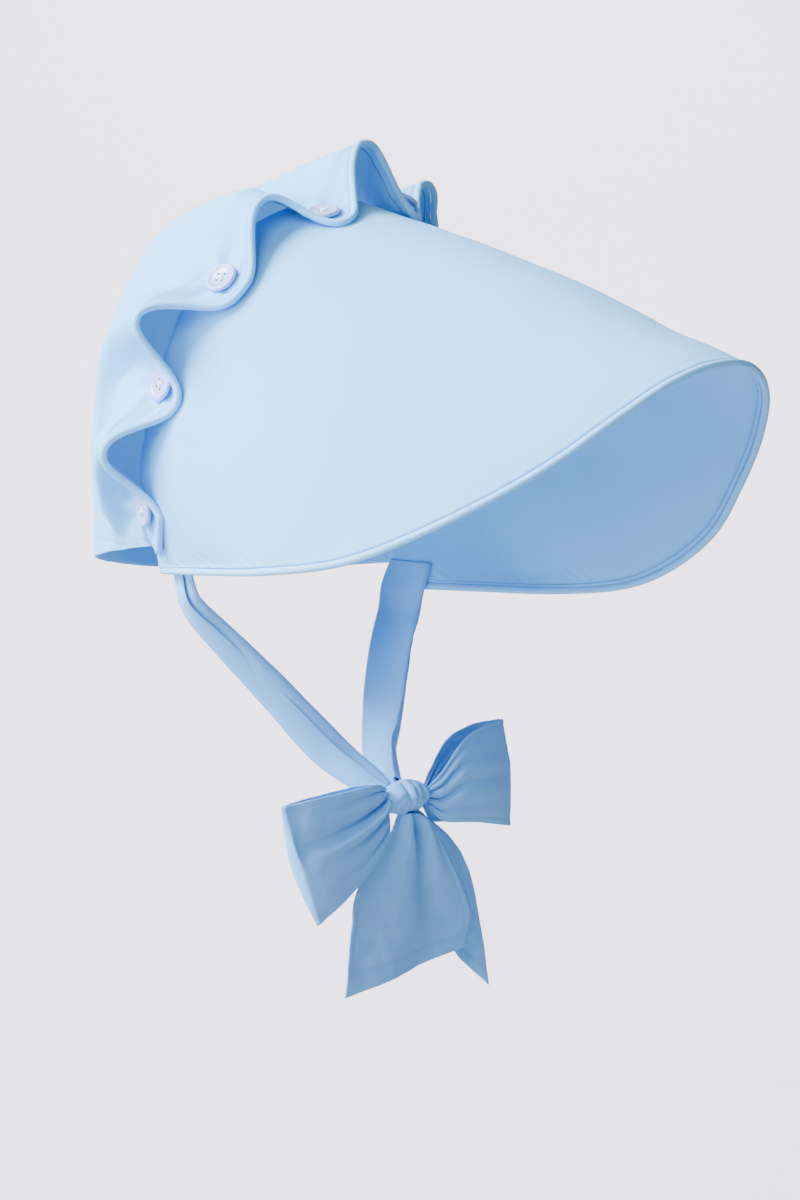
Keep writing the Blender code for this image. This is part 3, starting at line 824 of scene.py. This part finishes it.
def brim_pieces(detail):
    """Brim: two smooth faces, a seam beside the piping and a topstitched, slightly puckered inner edge, with
    painted shade along the seam and beside the topstitching.
    """
    columns = even_steps(rim, -1, 1, int(300 * detail))
    rows = np.concatenate([
        np.linspace(0, 0.8, int(56 * detail)), np.linspace(0.8, 0.97, int(26 * detail))[1:],
        np.linspace(0.97, 1, int(24 * detail))[1:],
    ])
    inset = lambda s, t: (1 - t) * np.maximum(brim_depth(s), BRIM_LEAST_DEPTH)

    def soft(s, t):
        points = brim_skin(s, t)
        waves = 1.5 * wrinkles(points, 150, 1) + 0.3 * wrinkles(points, 70, 2)
        return waves * smoothstep(t * 6) * smoothstep((1 - t) * 9)

    def outer(s, t):
        edge = inset(s, t)
        run = s * RIM_RUN
        pucker = 0.34 * np.sin(run * 0.55 + 2.2 * np.sin(run * 0.11) + edge * 0.12)
        pucker = pucker * bump(edge - 8, 9) * smoothstep((np.abs(s) - 0.15) * 4)
        return soft(s, t) + pucker - 0.8 * bump(edge - 0.5, 0.6) + 0.25 * bump(edge - 2.6, 1.6)

    def inner(s, t):
        edge = inset(s, t)
        run = s * RIM_RUN
        pucker = 0.6 * np.sin(run * 0.62 + 1.7 * np.sin(run * 0.09)) * (0.6 + 0.4 * np.sin(run * 0.037))
        pucker = pucker * bump(edge - 7, 11) * smoothstep(edge / 4)
        return soft(s, t) - BRIM_WALL + pucker + 0.55 * bump(edge - 4.2, 0.9)

    # Painted shade: a dark line in the seam colour in the groove where the brim meets its piping.
    def seam(s, t):
        edge = inset(s, t)
        return 0.8 * bump(edge - 0.4, 0.45)

    cloth_face = cloth(
        "brim_cloth", columns, rows, offset(brim_outer, brim_normal, outer),
        offset(brim_outer, brim_normal, inner), (660, 300), outside_cotton(), seam,
        # Painted shade on the inner face: a dark line 3.6 mm in from the edge beside the topstitching, and the
        # seam's line at the edge.
        lambda s, t: 0.55 * bump(inset(s, t) - 3.6, 0.45) + seam(s, t),
    )
    dress(cloth_face, "blue_cotton", "brim")
    stations = even_steps(rim, -1, 1, 420)
    held = np.clip(stations, -0.96, 0.96)
    tangent = unit(np.gradient(rim(stations), axis=0))
    ahead = rim(held) - arch(held)
    ahead = unit(ahead - tangent * row_dot(ahead, tangent)[:, None])
    normal = brim_normal(held, np.ones_like(held))
    points = rim(stations) - 0.5 * BRIM_WALL * normal + 1.7 * ahead
    piping = dress(cord("brim_cord", points, PIPING_RADIUS, piping_cotton()), "blue_piping", "brim_piping")
    line = np.linspace(-0.93, 0.93, 700)
    share = 1 - TOPSTITCH_INSET / np.maximum(brim_depth(line), BRIM_LEAST_DEPTH)
    inside = offset(brim_outer, brim_normal, lambda s, t: soft(s, t) - BRIM_WALL - 0.15)
    threads = stitches("brim_topstitch", [(inside(line, share), -brim_normal(line, share))], thread())
    dress(threads, "blue_cotton")


def crown_relief(s, v):
    """Small folds of the crown: puckers round the buttons, soft gathers behind the folds and a hem."""
    points = crown_inner(s, v)
    laid = np.stack([s * CROWN_CHART[0], v * CROWN_CHART[1], np.zeros_like(s)], -1)
    fading = smoothstep(v * 1.5)
    relief = 2.2 * wrinkles(laid, 66, 4) * smoothstep((v + 0.1) * 3) * (1 - 0.75 * fading)
    relief = relief + 0.35 * wrinkles(laid, 25, 5) * smoothstep((v + 0.2) * 3) * (1 - 0.6 * fading)
    for number, (seat, facing) in enumerate(BUTTONS):
        away = points - seat
        away = away - (away @ facing)[:, None] * facing
        far = np.linalg.norm(points - seat, axis=-1)
        side = unit(np.cross([0.0, 0.0, 1.0], facing))
        angle = np.arctan2(away @ np.cross(facing, side), away @ side)
        rays = np.sin(angle * 5 + number * 1.7) + 0.6 * np.sin(angle * 9 + number)
        relief = relief + 1.0 * rays * bump(far - 15, 9) * smoothstep((v + 1) * 4)
        relief = relief - 0.6 * bump(far, 8)
    hem = (1 - v) * NAPE_RUN
    relief = relief + 0.16 * np.sin(s * 300 + 3 * np.sin(s * 41)) * bump(hem - HEM_INSET - 2, 10) * (v > 0)
    return relief - 0.5 * bump(hem - HEM_INSET, 1.3) * (v > 0)


def crown_front(s, v):
    """Inner face of the crown, its front edge drawn out to meet the piping."""
    points = crown_inner(s, v)
    ahead = unit(crown_line(s, -1.0) - crown_line(s, -0.8))
    reach = (CROWN_PIPING_GAP - 0.2) * smoothstep((-v - 0.86) / 0.14)
    return points + reach[..., None] * ahead


def crown_pieces(detail):
    """Crown: one ruffled sheet buttoned to the brim, piped in front and hemmed at the nape."""
    columns = even_steps(lambda s: crown_line(s, -0.9), -1, 1, int(390 * detail))
    rows = np.concatenate([np.linspace(-1, 0, int(26 * detail)), np.linspace(0, 1, int(84 * detail))[1:]])

    def edge_inset(s, v):
        return (v + 1) * np.maximum(overlap(s), 6) * (v < 0) + 99 * (v >= 0)

    def relief(s, v):
        return crown_relief(s, v) * smoothstep((1 - np.abs(s)) * 30)

    def outer(s, v):
        return relief(s, v) + CROWN_WALL - 0.5 * bump(edge_inset(s, v) - 0.4, 0.7)

    # Painted shade: a dark line in the seam colour in the groove where the crown meets its piping.
    def seam(s, v):
        return 0.45 * bump(edge_inset(s, v) - 0.3, 0.5) * (v < 0)

    face = cloth(
        "crown_cloth", columns, rows, offset(crown_front, crown_normal, outer),
        offset(crown_front, crown_normal, relief), (850, 320), outside_cotton(), seam,
        # Painted shade on the inner face: a dark line 2.6 mm in from the front edge, along the stitched seam
        # allowance.
        lambda s, v: 0.8 * bump(edge_inset(s, v) - 2.6, 0.45),
    )
    dress(face, "blue_cotton", "crown")
    stations = even_steps(lambda s: crown_line(s, -1.0), -0.985, 0.985, 700)
    edge = crown_line(stations, -1.0)
    ahead = unit(edge - crown_line(stations, -0.7))
    middle = edge + 0.5 * CROWN_WALL * crown_normal(stations, np.full_like(stations, -1.0))
    path = middle + (PIPING_RADIUS + CROWN_PIPING_GAP) * ahead
    piping = cord("crown_cord", path, PIPING_RADIUS, piping_cotton())
    dress(piping, "blue_piping", "crown_piping")
    line = np.linspace(-0.97, 0.97, 900)
    low = np.full_like(line, 1 - HEM_INSET / NAPE_RUN)
    skin = offset(crown_front, crown_normal, lambda s, v: relief(s, v) + CROWN_WALL - 0.15)
    hem = stitches("crown_hem_stitches", [(skin(line, low), crown_normal(line, low))], thread())
    dress(hem, "blue_cotton")
    run = run_along(edge)
    rows_of_thread = []
    for seat, facing in BUTTONS:
        nearest = run[np.argmin(np.linalg.norm(edge - seat, axis=1))]
        beside = np.interp(nearest + np.linspace(-HOLE_STITCH_RUN, HOLE_STITCH_RUN, 40), run, stations)
        for inset in HOLE_STITCH_INSETS:
            inside = -1 + inset / np.maximum(overlap(beside), 6)
            rows_of_thread.append((skin(beside, inside), crown_normal(beside, inside)))
    holes = stitches("crown_buttonhole_stitches", rows_of_thread, thread(), length=1.1, gap=0.25, radius=0.2)
    dress(holes, "blue_cotton")


def drill(disc):
    """Cut the four holes through a button's disc."""
    bm = bmesh.new()
    for x in (-HOLE_OFFSET, HOLE_OFFSET):
        for y in (-HOLE_OFFSET, HOLE_OFFSET):
            bmesh.ops.create_cone(
                bm, cap_ends=True, segments=20, depth=6 * MM, radius1=HOLE_RADIUS * MM,
                radius2=HOLE_RADIUS * MM, matrix=Matrix.Translation(Vector((x, y, 1.3)) * MM),
            )
    cutter = finished(disc.name + "_cutter", bm, disc.data.materials[0], smooth=False)
    holes = disc.modifiers.new("Holes", "BOOLEAN")
    holes.object = cutter
    holes.operation = "DIFFERENCE"
    holes.solver = "EXACT"
    solid = bpy.data.meshes.new_from_object(disc.evaluated_get(bpy.context.evaluated_depsgraph_get()))
    disc.modifiers.clear()
    disc.data = solid
    bpy.data.objects.remove(cutter)


def button_pieces():
    """Buttons: a rolled rim round a dished middle, four holes and a cross of thread through them."""
    look = bpy.context.scene.bonnet_colours
    plastic = moulded("Button plastic", look.button, 0.28)
    for number, (seat, facing) in enumerate(BUTTONS, 1):
        side = unit(np.cross([0.0, 0.0, 1.0], facing))
        turn = Matrix((side, np.cross(facing, side), facing)).transposed().to_4x4()
        place = Matrix.Translation(Vector(seat * MM)) @ turn @ Matrix.Rotation(0.5 * number, 4, "Z")
        bm = spun([(out * MM, up * MM) for out, up in BUTTON_PROFILE], 48)
        bmesh.ops.remove_doubles(bm, verts=bm.verts, dist=1e-7)
        bmesh.ops.recalc_face_normals(bm, faces=bm.faces)
        disc = finished(f"button_{number}_disc", bm, plastic)
        drill(disc)
        disc.data.transform(place)
        strands = bmesh.new()
        strands.loops.layers.uv.new("cloth")
        for ends in (((-1, -1), (1, 1)), ((-1, 1), (1, -1))):
            for shift in (-0.45, 0.0, 0.45):
                strand(strands, HOLE_OFFSET * np.array(ends), shift, place)
        bmesh.ops.recalc_face_normals(strands, faces=strands.faces)
        white = cotton("Button thread", look.button_thread, look.button_thread, 0.3, look.seam)
        cross = finished(f"button_{number}_thread", strands, white)
        dress(disc, "button_plastic", f"button_{number}")
        dress(cross, "blue_cotton")


def strand(bm, ends, shift, place):
    """One thread over a button from hole to hole, its ends going down into them."""
    start, end = ends
    along = unit(end - start)
    share = np.linspace(0, 1, 13)
    flat = start + (end - start) * share[:, None] + np.array([-along[1], along[0]]) * shift
    arc = np.sin(math.pi * share)
    height = 0.4 + 1.95 * arc ** 0.35 + 0.1 * arc
    points = [place @ (Vector((*spot, up)) * MM) for spot, up in zip(flat, height)]
    tube(bm, np.array(points) / MM, 0.3, 8)


def bow_point(out, ahead, up):
    """Points from the middle of the knot, measured in the turned plane of the bow."""
    turn = math.radians(BOW_TURN)
    x = out * math.cos(turn) - ahead * math.sin(turn)
    y = -out * math.sin(turn) - ahead * math.cos(turn)
    return np.stack(np.broadcast_arrays(x, y - KNOT_AHEAD, up - KNOT_DROP), -1)


def knot_seat(out, ahead, up):
    direction = unit(np.array([out, ahead, up]))
    reach = 1 / np.linalg.norm(direction / np.array(KNOT_HALF)) - 0.6
    return bow_point(*(reach * direction))


def creases(rows, across, along):
    """Relief of creases that start at the knot and die out."""
    relief = np.zeros_like(across)
    for near, far, depth, width, reach in rows:
        line = near + (far - near) * along
        fold = bump(across - line, width * (0.7 + 0.9 * along))
        relief = relief - depth * fold * (1 - smoothstep(along / reach))
    return relief


# Painted shade: the ties, loops, tails and knot are the bonnet's own cotton in darker colours, for the shade
# they hang in.
def tie_cotton_in_painted_shade():
    look = bpy.context.scene.bonnet_colours
    return cotton("Blue cotton of the ties", look.ties, look.ties_shaded_deep, 0.08, look.seam)


def no_hem(s, v):
    return np.zeros_like(s)


def ribbon_piece(name, node, grid, ribbon, low, fine, size, front_hem=no_hem, back_hem=no_hem, painted_shade_mask=None):
    """A ribbon of the ties' cotton, the bonnet's cotton painted darker for shade, in place of its node. Its
    rows run from low to 1.
    """
    normal = lambda s, v: surface_normal(ribbon, s, v, low)

    def face(side, hem):
        return offset(ribbon, normal, lambda s, v: fine(ribbon(s, v)) + side * (0.5 * TIE_WALL + hem(s, v)))

    made = cloth(name, *grid, face(1, front_hem), face(-1, back_hem), size, tie_cotton_in_painted_shade(), painted_shade_mask)
    return dress(made, "blue_cotton", node)


def tie_piece(name, node, side, spread, turn, section, end, detail):
    """Tie from the brim's corner to the knot: a wide ribbon folded on itself lengthwise."""
    station, share = np.array([side * TIE_SEAT_STATION]), np.array([TIE_SEAT_SHARE])
    depth = BRIM_WALL + 3 * CLEARANCE + 0.5
    seam = (brim_outer(station, share) - depth * brim_normal(station, share))[0]

    def centre(row):
        way = through(TIE_ROWS, row)
        return np.stack([
            end[0] + way[..., 0] * (seam[0] - end[0]),
            end[1] + way[..., 1] * (seam[1] - end[1]),
            seam[2] + way[..., 2] * (end[2] - seam[2]),
        ], -1)

    def ribbon(column, row):
        way = through(TIE_ROWS, row)
        along = unit(centre(np.minimum(row + 0.01, 1)) - centre(np.maximum(row - 0.01, 0)))
        angle = np.radians(way[..., 4] + turn * smoothstep(5 * row) * smoothstep(4 * (1 - row)))
        outward = np.stack([side * np.sin(angle), -np.cos(angle), np.zeros_like(angle)], -1)
        across = unit(np.cross(along, outward))
        outward = np.cross(across, along)
        half = 0.5 * way[..., 3] * TIE_WIDTH * spread
        sweep, thick = np.moveaxis(through(section, column), -1, 0)
        cup = 0.3 * half * (sweep * sweep - 0.4) * smoothstep(4 * row)
        sway = 0.7 * np.sin(9 * row + 3 * column) * smoothstep(3 * row) * smoothstep(3 * (1 - row))
        return centre(row) + (sweep * half)[..., None] * across - (cup - thick + sway)[..., None] * outward

    grid = np.linspace(-1, 1, int(90 * detail)), np.linspace(0, 1, int(120 * detail))
    fine = lambda points: 0.22 * wrinkles(points, 26, 8, (1, 1, 0.5))
    made = ribbon_piece(name, node, grid, ribbon, 0.0, fine, (58, 190))


def loop_piece(name, node, side, bulge, rows, crease_rows, detail):
    """Loop of the bow: a ribbon out from the knot, round its outer fold and back, hemmed on both edges."""
    table = spread_rows(rows)

    def ribbon(column, way):
        share = through(table, 1 - np.abs(way) ** 1.6)
        top_out, top_up, bottom_out, bottom_up, depth = np.moveaxis(share, -1, 0)
        near = np.abs(way) ** 1.6
        mix = 0.5 + 0.5 * column
        out = (bottom_out + mix * (top_out - bottom_out)) * LOOP_REACH
        up = (bottom_up + mix * (top_up - bottom_up)) * LOOP_REACH
        round_off = 1 - column * column
        out = out + bulge * round_off * out / LOOP_REACH
        layer = np.sign(way) * np.sin(0.5 * math.pi * np.minimum(np.abs(way) * 3.0, 1.0))
        relief = creases(crease_rows, column, np.clip(1 - np.abs(way), 0, 1)) * smoothstep(np.abs(way) * 3)
        ripple = 0.9 * np.sin(3.1 * column + 5 * way) * smoothstep((1 - near) * 3)
        ahead = layer * (depth * (0.55 + 0.45 * round_off) * LOOP_DEPTH + relief) + ripple
        return bow_point(side * out, ahead, up)

    grid = np.linspace(-1, 1, int(76 * detail)), np.linspace(1, -1, int(190 * detail))
    hem = lambda s, v: 0.2 * smoothstep((np.abs(s) - 0.90) * 40) - 0.15 * bump(np.abs(s) - 0.895, 0.016)
    # Painted shade: a dark line in the seam colour along each hem, where the hem's groove lies in shade.
    painted_shade_mask = lambda s, v: 0.16 * bump(np.abs(s) - 0.895, 0.012)
    fine = lambda points: 0.25 * wrinkles(points, 15, 11)
    made = ribbon_piece(name, node, grid, ribbon, -1.0, fine, (58, 170), hem, painted_shade_mask=painted_shade_mask)


def tail_piece(name, node, rows, crease_rows, set_back, detail):
    """Free end of a tie below the knot, hemmed along its edges and its slanting cut."""
    table = spread_rows(rows)

    def ribbon(column, way):
        right_out, right_down, left_out, left_down = np.moveaxis(through(table, way), -1, 0)
        mix = 0.5 + 0.5 * column
        out = (right_out + mix * (left_out - right_out)) * TAIL_LENGTH
        down = (right_down + mix * (left_down - right_down)) * TAIL_LENGTH
        wave = 2.2 * way * np.sin(math.pi * (1.5 * column + way))
        behind = set_back * (0.45 + 0.55 * smoothstep(4 * way))
        return bow_point(out, 2.0 + wave - behind + creases(crease_rows, column, way), -down)

    grid = np.linspace(-1, 1, int(110 * detail)), np.linspace(0, 1, int(130 * detail))
    edge = lambda s, v: np.maximum(np.abs(s), v)
    hem = lambda s, v: 0.15 * smoothstep((edge(s, v) - 0.92) * 40) - 0.12 * bump(edge(s, v) - 0.915, 0.014)
    # Painted shade: a dark line in the seam colour along the hems and the cut, where the hem's groove lies in
    # shade.
    painted_shade_mask = lambda s, v: 0.14 * bump(edge(s, v) - 0.915, 0.012)
    fine = lambda points: 0.3 * wrinkles(points, 17, 14)
    return ribbon_piece(name, node, grid, ribbon, 0.0, fine, (70, 100), hem, hem, painted_shade_mask)


def knot_piece(detail):
    """Knot: the ribbon wound round the middle of the bow, its folds running over from top to bottom."""
    bm = bmesh.new()
    chart = bm.loops.layers.uv.new("cloth")
    bmesh.ops.create_uvsphere(bm, u_segments=int(120 * detail), v_segments=int(80 * detail), radius=1)
    for vert in bm.verts:
        x, y, z = vert.co
        roll = math.atan2(z, -y)
        fold = 0.0
        for place, lean, depth, width in KNOT_CREASES:
            line = place + lean * math.sin(roll + 0.6)
            fold -= depth * math.exp(-((x - line) / width) ** 2) * (0.55 + 0.45 * math.cos(roll + 0.9))
        fold += 0.5 * noise.noise(Vector((x * 2.2, y * 2.2, z * 2.2)))
        grown = 1.04 + fold * KNOT_CREASE
        flat = 1 + 0.08 * math.cos(2 * roll)
        ahead = -y * KNOT_HALF[1] * grown * flat
        up = z * KNOT_HALF[2] * grown / flat + 1.6 * x
        vert.co = Vector(bow_point(x * KNOT_HALF[0] * 1.08, ahead, up) * MM)
    lay_chart(bm.faces, chart, {vert: (vert.co.x, vert.co.z) for vert in bm.verts})
    made = finished("bow_knot_cloth", bm, tie_cotton_in_painted_shade())
    dress(made, "blue_cotton", "bow_knot")


def bow_pieces(detail):
    right_end, left_end = knot_seat(-0.85, -0.55, 0.35), knot_seat(0.35, -0.85, 0.45)
    tie_piece("tie_right_ribbon", "tie_right", -1, 1.0, 0.0, THREE_FOLD_ROWS, right_end, detail)
    tie_piece("tie_left_ribbon", "tie_left", 1, 1.7, TIE_LEFT_TURN, TWO_FOLD_ROWS, left_end, detail)
    knot_piece(detail)
    for name, side, bulge, rows, crease_rows in (
        ("bow_loop_right", -1, 4.0, LOOP_RIGHT_ROWS, LOOP_RIGHT_CREASES),
        ("bow_loop_left", 1, 0.0, LOOP_LEFT_ROWS, LOOP_LEFT_CREASES),
    ):
        loop_piece(name + "_ribbon", name, side, bulge, rows, crease_rows, detail)
    front = tail_piece(
        "bow_tail_front_ribbon", "bow_tail_front", TAIL_FRONT_ROWS, TAIL_FRONT_CREASES, 0.0, detail,
    )
    rear = tail_piece("bow_tail_rear_ribbon", "bow_tail_rear", TAIL_REAR_ROWS, TAIL_REAR_CREASES, 10.0, detail)


def hang_lamp(name, place, aim, size, power, colour):
    """Square lamp at a place, turned to its aim."""
    lamp = bpy.data.lights.new(name, "AREA")
    lamp.energy = power
    lamp.color = colour
    lamp.size = size
    made = bpy.data.objects.new(name, lamp)
    made.location = place
    made.rotation_euler = (Vector(aim) - made.location).to_track_quat("-Z", "Y").to_euler()
    bpy.context.scene.collection.objects.link(made)
    return lamp


def stage_pieces():
    """Pale studio bowl, soft light and the camera."""
    scene = bpy.context.scene
    look, light = scene.bonnet_colours, scene.bonnet_light
    paper, tree, shader = new_material("Studio paper", {"Roughness": 0.95, "Specular IOR Level": 0.1})
    grain = mix_colour(tree, cloudiness(tree, 3), [0.97 * c for c in look.paper], look.paper)
    tree.links.new(grain, shader.inputs["Base Color"])
    floor = finished("studio_floor", spun([(out, up - FLOOR_DROP) for out, up in STUDIO_PROFILE], 96), paper)
    for name, direction, size in LAMP_ROWS:
        place = Vector(LAMP_AIM) + Vector(direction).normalized() * LAMP_REACH
        hang_lamp(name, place, LAMP_AIM, size, getattr(light, name.lower()), look.lamp)
    backdrop = hang_lamp("Backdrop", *BACKDROP, light.backdrop, look.backdrop)
    backdrop.spread = math.radians(BACKDROP_SPREAD)
    world = bpy.data.worlds.new("Studio air")
    world.use_nodes = True
    world.node_tree.nodes["Background"].inputs["Color"].default_value = (*look.air, 1)
    world.node_tree.nodes["Background"].inputs["Strength"].default_value = light.air
    scene.world = world
    lens = bpy.data.cameras.new("Camera")
    lens.lens = CAMERA_LENS
    lens.sensor_width = 36
    camera = bpy.data.objects.new("Camera", lens)
    turn, lift = math.radians(CAMERA_TURN), math.radians(CAMERA_LIFT)
    back = Vector((math.sin(turn) * math.cos(lift), -math.cos(turn) * math.cos(lift), math.sin(lift)))
    camera.location = CAMERA_PLACE
    camera.rotation_euler = back.to_track_quat("Z", "Y").to_euler()
    scene.collection.objects.link(camera)
    scene.camera = camera


# Panel and operators


def colour_property(name, description, value):
    return FloatVectorProperty(name=name, description=description, subtype="COLOR", size=3, default=value)


def power_property(name, description, watts):
    return FloatProperty(name=name, description=description, unit="POWER", default=watts)


class BonnetColours(bpy.types.PropertyGroup):
    """Colours of the bonnet and its studio."""
    cloth: colour_property("Cloth", "Crests of the cotton", (0.20, 0.59, 1.0))
    cloth_deep: colour_property("Cloth, deep", "Hollows of the cotton", (0.17, 0.55, 0.99))
    # Painted shade: the ties' colours are the cloth's colours darkened for the shade the ties hang in.
    ties: colour_property("Ties", "Crests of the ties' cotton", (0.21, 0.52, 0.93))
    ties_shaded_deep: colour_property("Ties, deep", "Hollows of the ties' cotton", (0.18, 0.47, 0.89))
    piping: colour_property("Piping", "Cotton over the cord", (0.26, 0.60, 0.98))
    # Painted shade: the seam colour is drawn as a dark line along seams and hems where shade lies in their
    # grooves.
    seam: colour_property("Seam", "Shaded line in a seam", (0.05, 0.17, 0.42))
    thread: colour_property("Thread", "Sewing thread", (0.22, 0.56, 0.97))
    button: colour_property("Buttons", "Button plastic", (0.38, 0.46, 0.90))
    button_thread: colour_property("Button thread", "White thread", (0.86, 0.90, 0.96))
    paper: colour_property("Paper", "Studio floor and wall", (0.42, 0.40, 0.425))
    lamp: colour_property("Lamps", "Light of the lamps", (0.86, 0.94, 1.0))
    backdrop: colour_property("Backdrop", "Light on the wall behind", (1.0, 0.95, 1.0))
    air: colour_property("Air", "Light from all round", (0.92, 0.96, 1.0))


class BonnetLight(bpy.types.PropertyGroup):
    """Strength of the studio's lamps."""
    key: power_property("Key", "Lamp at the upper left, behind the wearer", 345.0)
    fill: power_property("Fill", "Soft lamp left of the camera", 34.0)
    side: power_property("Side", "Low soft lamp at the left", 56.0)
    top: power_property("Top", "Large soft lamp overhead", 15.0)
    backdrop: power_property("Backdrop", "Lamp on the wall behind", 960.0)
    air: FloatProperty(name="Air", description="Strength of the light from all round", default=0.20)


class BonnetCloth(bpy.types.PropertyGroup):
    """Fineness of the cloth."""
    detail: FloatProperty(
        name="Detail", description="Fineness of the cloth grids", subtype="FACTOR",
        default=1.0, min=0.2, max=1.1,
    )


class BONNET_OT_brim(bpy.types.Operator):
    """Build the brim, its piping and its topstitching"""
    bl_idname = "bonnet.brim"
    bl_label = "Brim"

    def execute(self, context):
        brim_pieces(context.scene.bonnet_cloth.detail)
        return {"FINISHED"}


class BONNET_OT_crown(bpy.types.Operator):
    """Build the ruffled crown, its piping and its hem"""
    bl_idname = "bonnet.crown"
    bl_label = "Crown"

    def execute(self, context):
        crown_pieces(context.scene.bonnet_cloth.detail)
        return {"FINISHED"}


class BONNET_OT_buttons(bpy.types.Operator):
    """Build the buttons and their thread"""
    bl_idname = "bonnet.buttons"
    bl_label = "Buttons"

    def execute(self, context):
        button_pieces()
        return {"FINISHED"}


class BONNET_OT_bow(bpy.types.Operator):
    """Build the ties and the bow under the chin"""
    bl_idname = "bonnet.bow"
    bl_label = "Ties and bow"

    def execute(self, context):
        bow_pieces(context.scene.bonnet_cloth.detail)
        return {"FINISHED"}


class BONNET_OT_stage(bpy.types.Operator):
    """Set up the floor, the lamps and the camera"""
    bl_idname = "bonnet.stage"
    bl_label = "Studio"

    def execute(self, context):
        stage_pieces()
        return {"FINISHED"}


class BONNET_PT_panel(bpy.types.Panel):
    """Steps and settings of the bonnet"""
    bl_idname = "BONNET_PT_panel"
    bl_label = "Sun bonnet"
    bl_space_type = "VIEW_3D"
    bl_region_type = "UI"
    bl_category = "Bonnet"

    def draw(self, context):
        for operator in OPERATORS:
            self.layout.operator(operator.bl_idname)
        for group in ("bonnet_cloth", "bonnet_colours", "bonnet_light"):
            settings = getattr(context.scene, group)
            for name in settings.bl_rna.properties.keys():
                if name not in ("rna_type", "name"):
                    self.layout.prop(settings, name)


OPERATORS = (BONNET_OT_brim, BONNET_OT_crown, BONNET_OT_buttons, BONNET_OT_bow, BONNET_OT_stage)
CLASSES = (BonnetColours, BonnetLight, BonnetCloth, *OPERATORS, BONNET_PT_panel)


def register():
    for entry in CLASSES:
        bpy.utils.register_class(entry)
    bpy.types.Scene.bonnet_colours = PointerProperty(type=BonnetColours)
    bpy.types.Scene.bonnet_light = PointerProperty(type=BonnetLight)
    bpy.types.Scene.bonnet_cloth = PointerProperty(type=BonnetCloth)


def unregister():
    for name in ("bonnet_colours", "bonnet_light", "bonnet_cloth"):
        delattr(bpy.types.Scene, name)
    for entry in reversed(CLASSES):
        bpy.utils.unregister_class(entry)


def main():
    register()
    bpy.ops.bonnet.brim()
    bpy.ops.bonnet.crown()
    bpy.ops.bonnet.buttons()
    bpy.ops.bonnet.bow()
    bpy.ops.bonnet.stage()


if __name__ == "__main__":
    main()
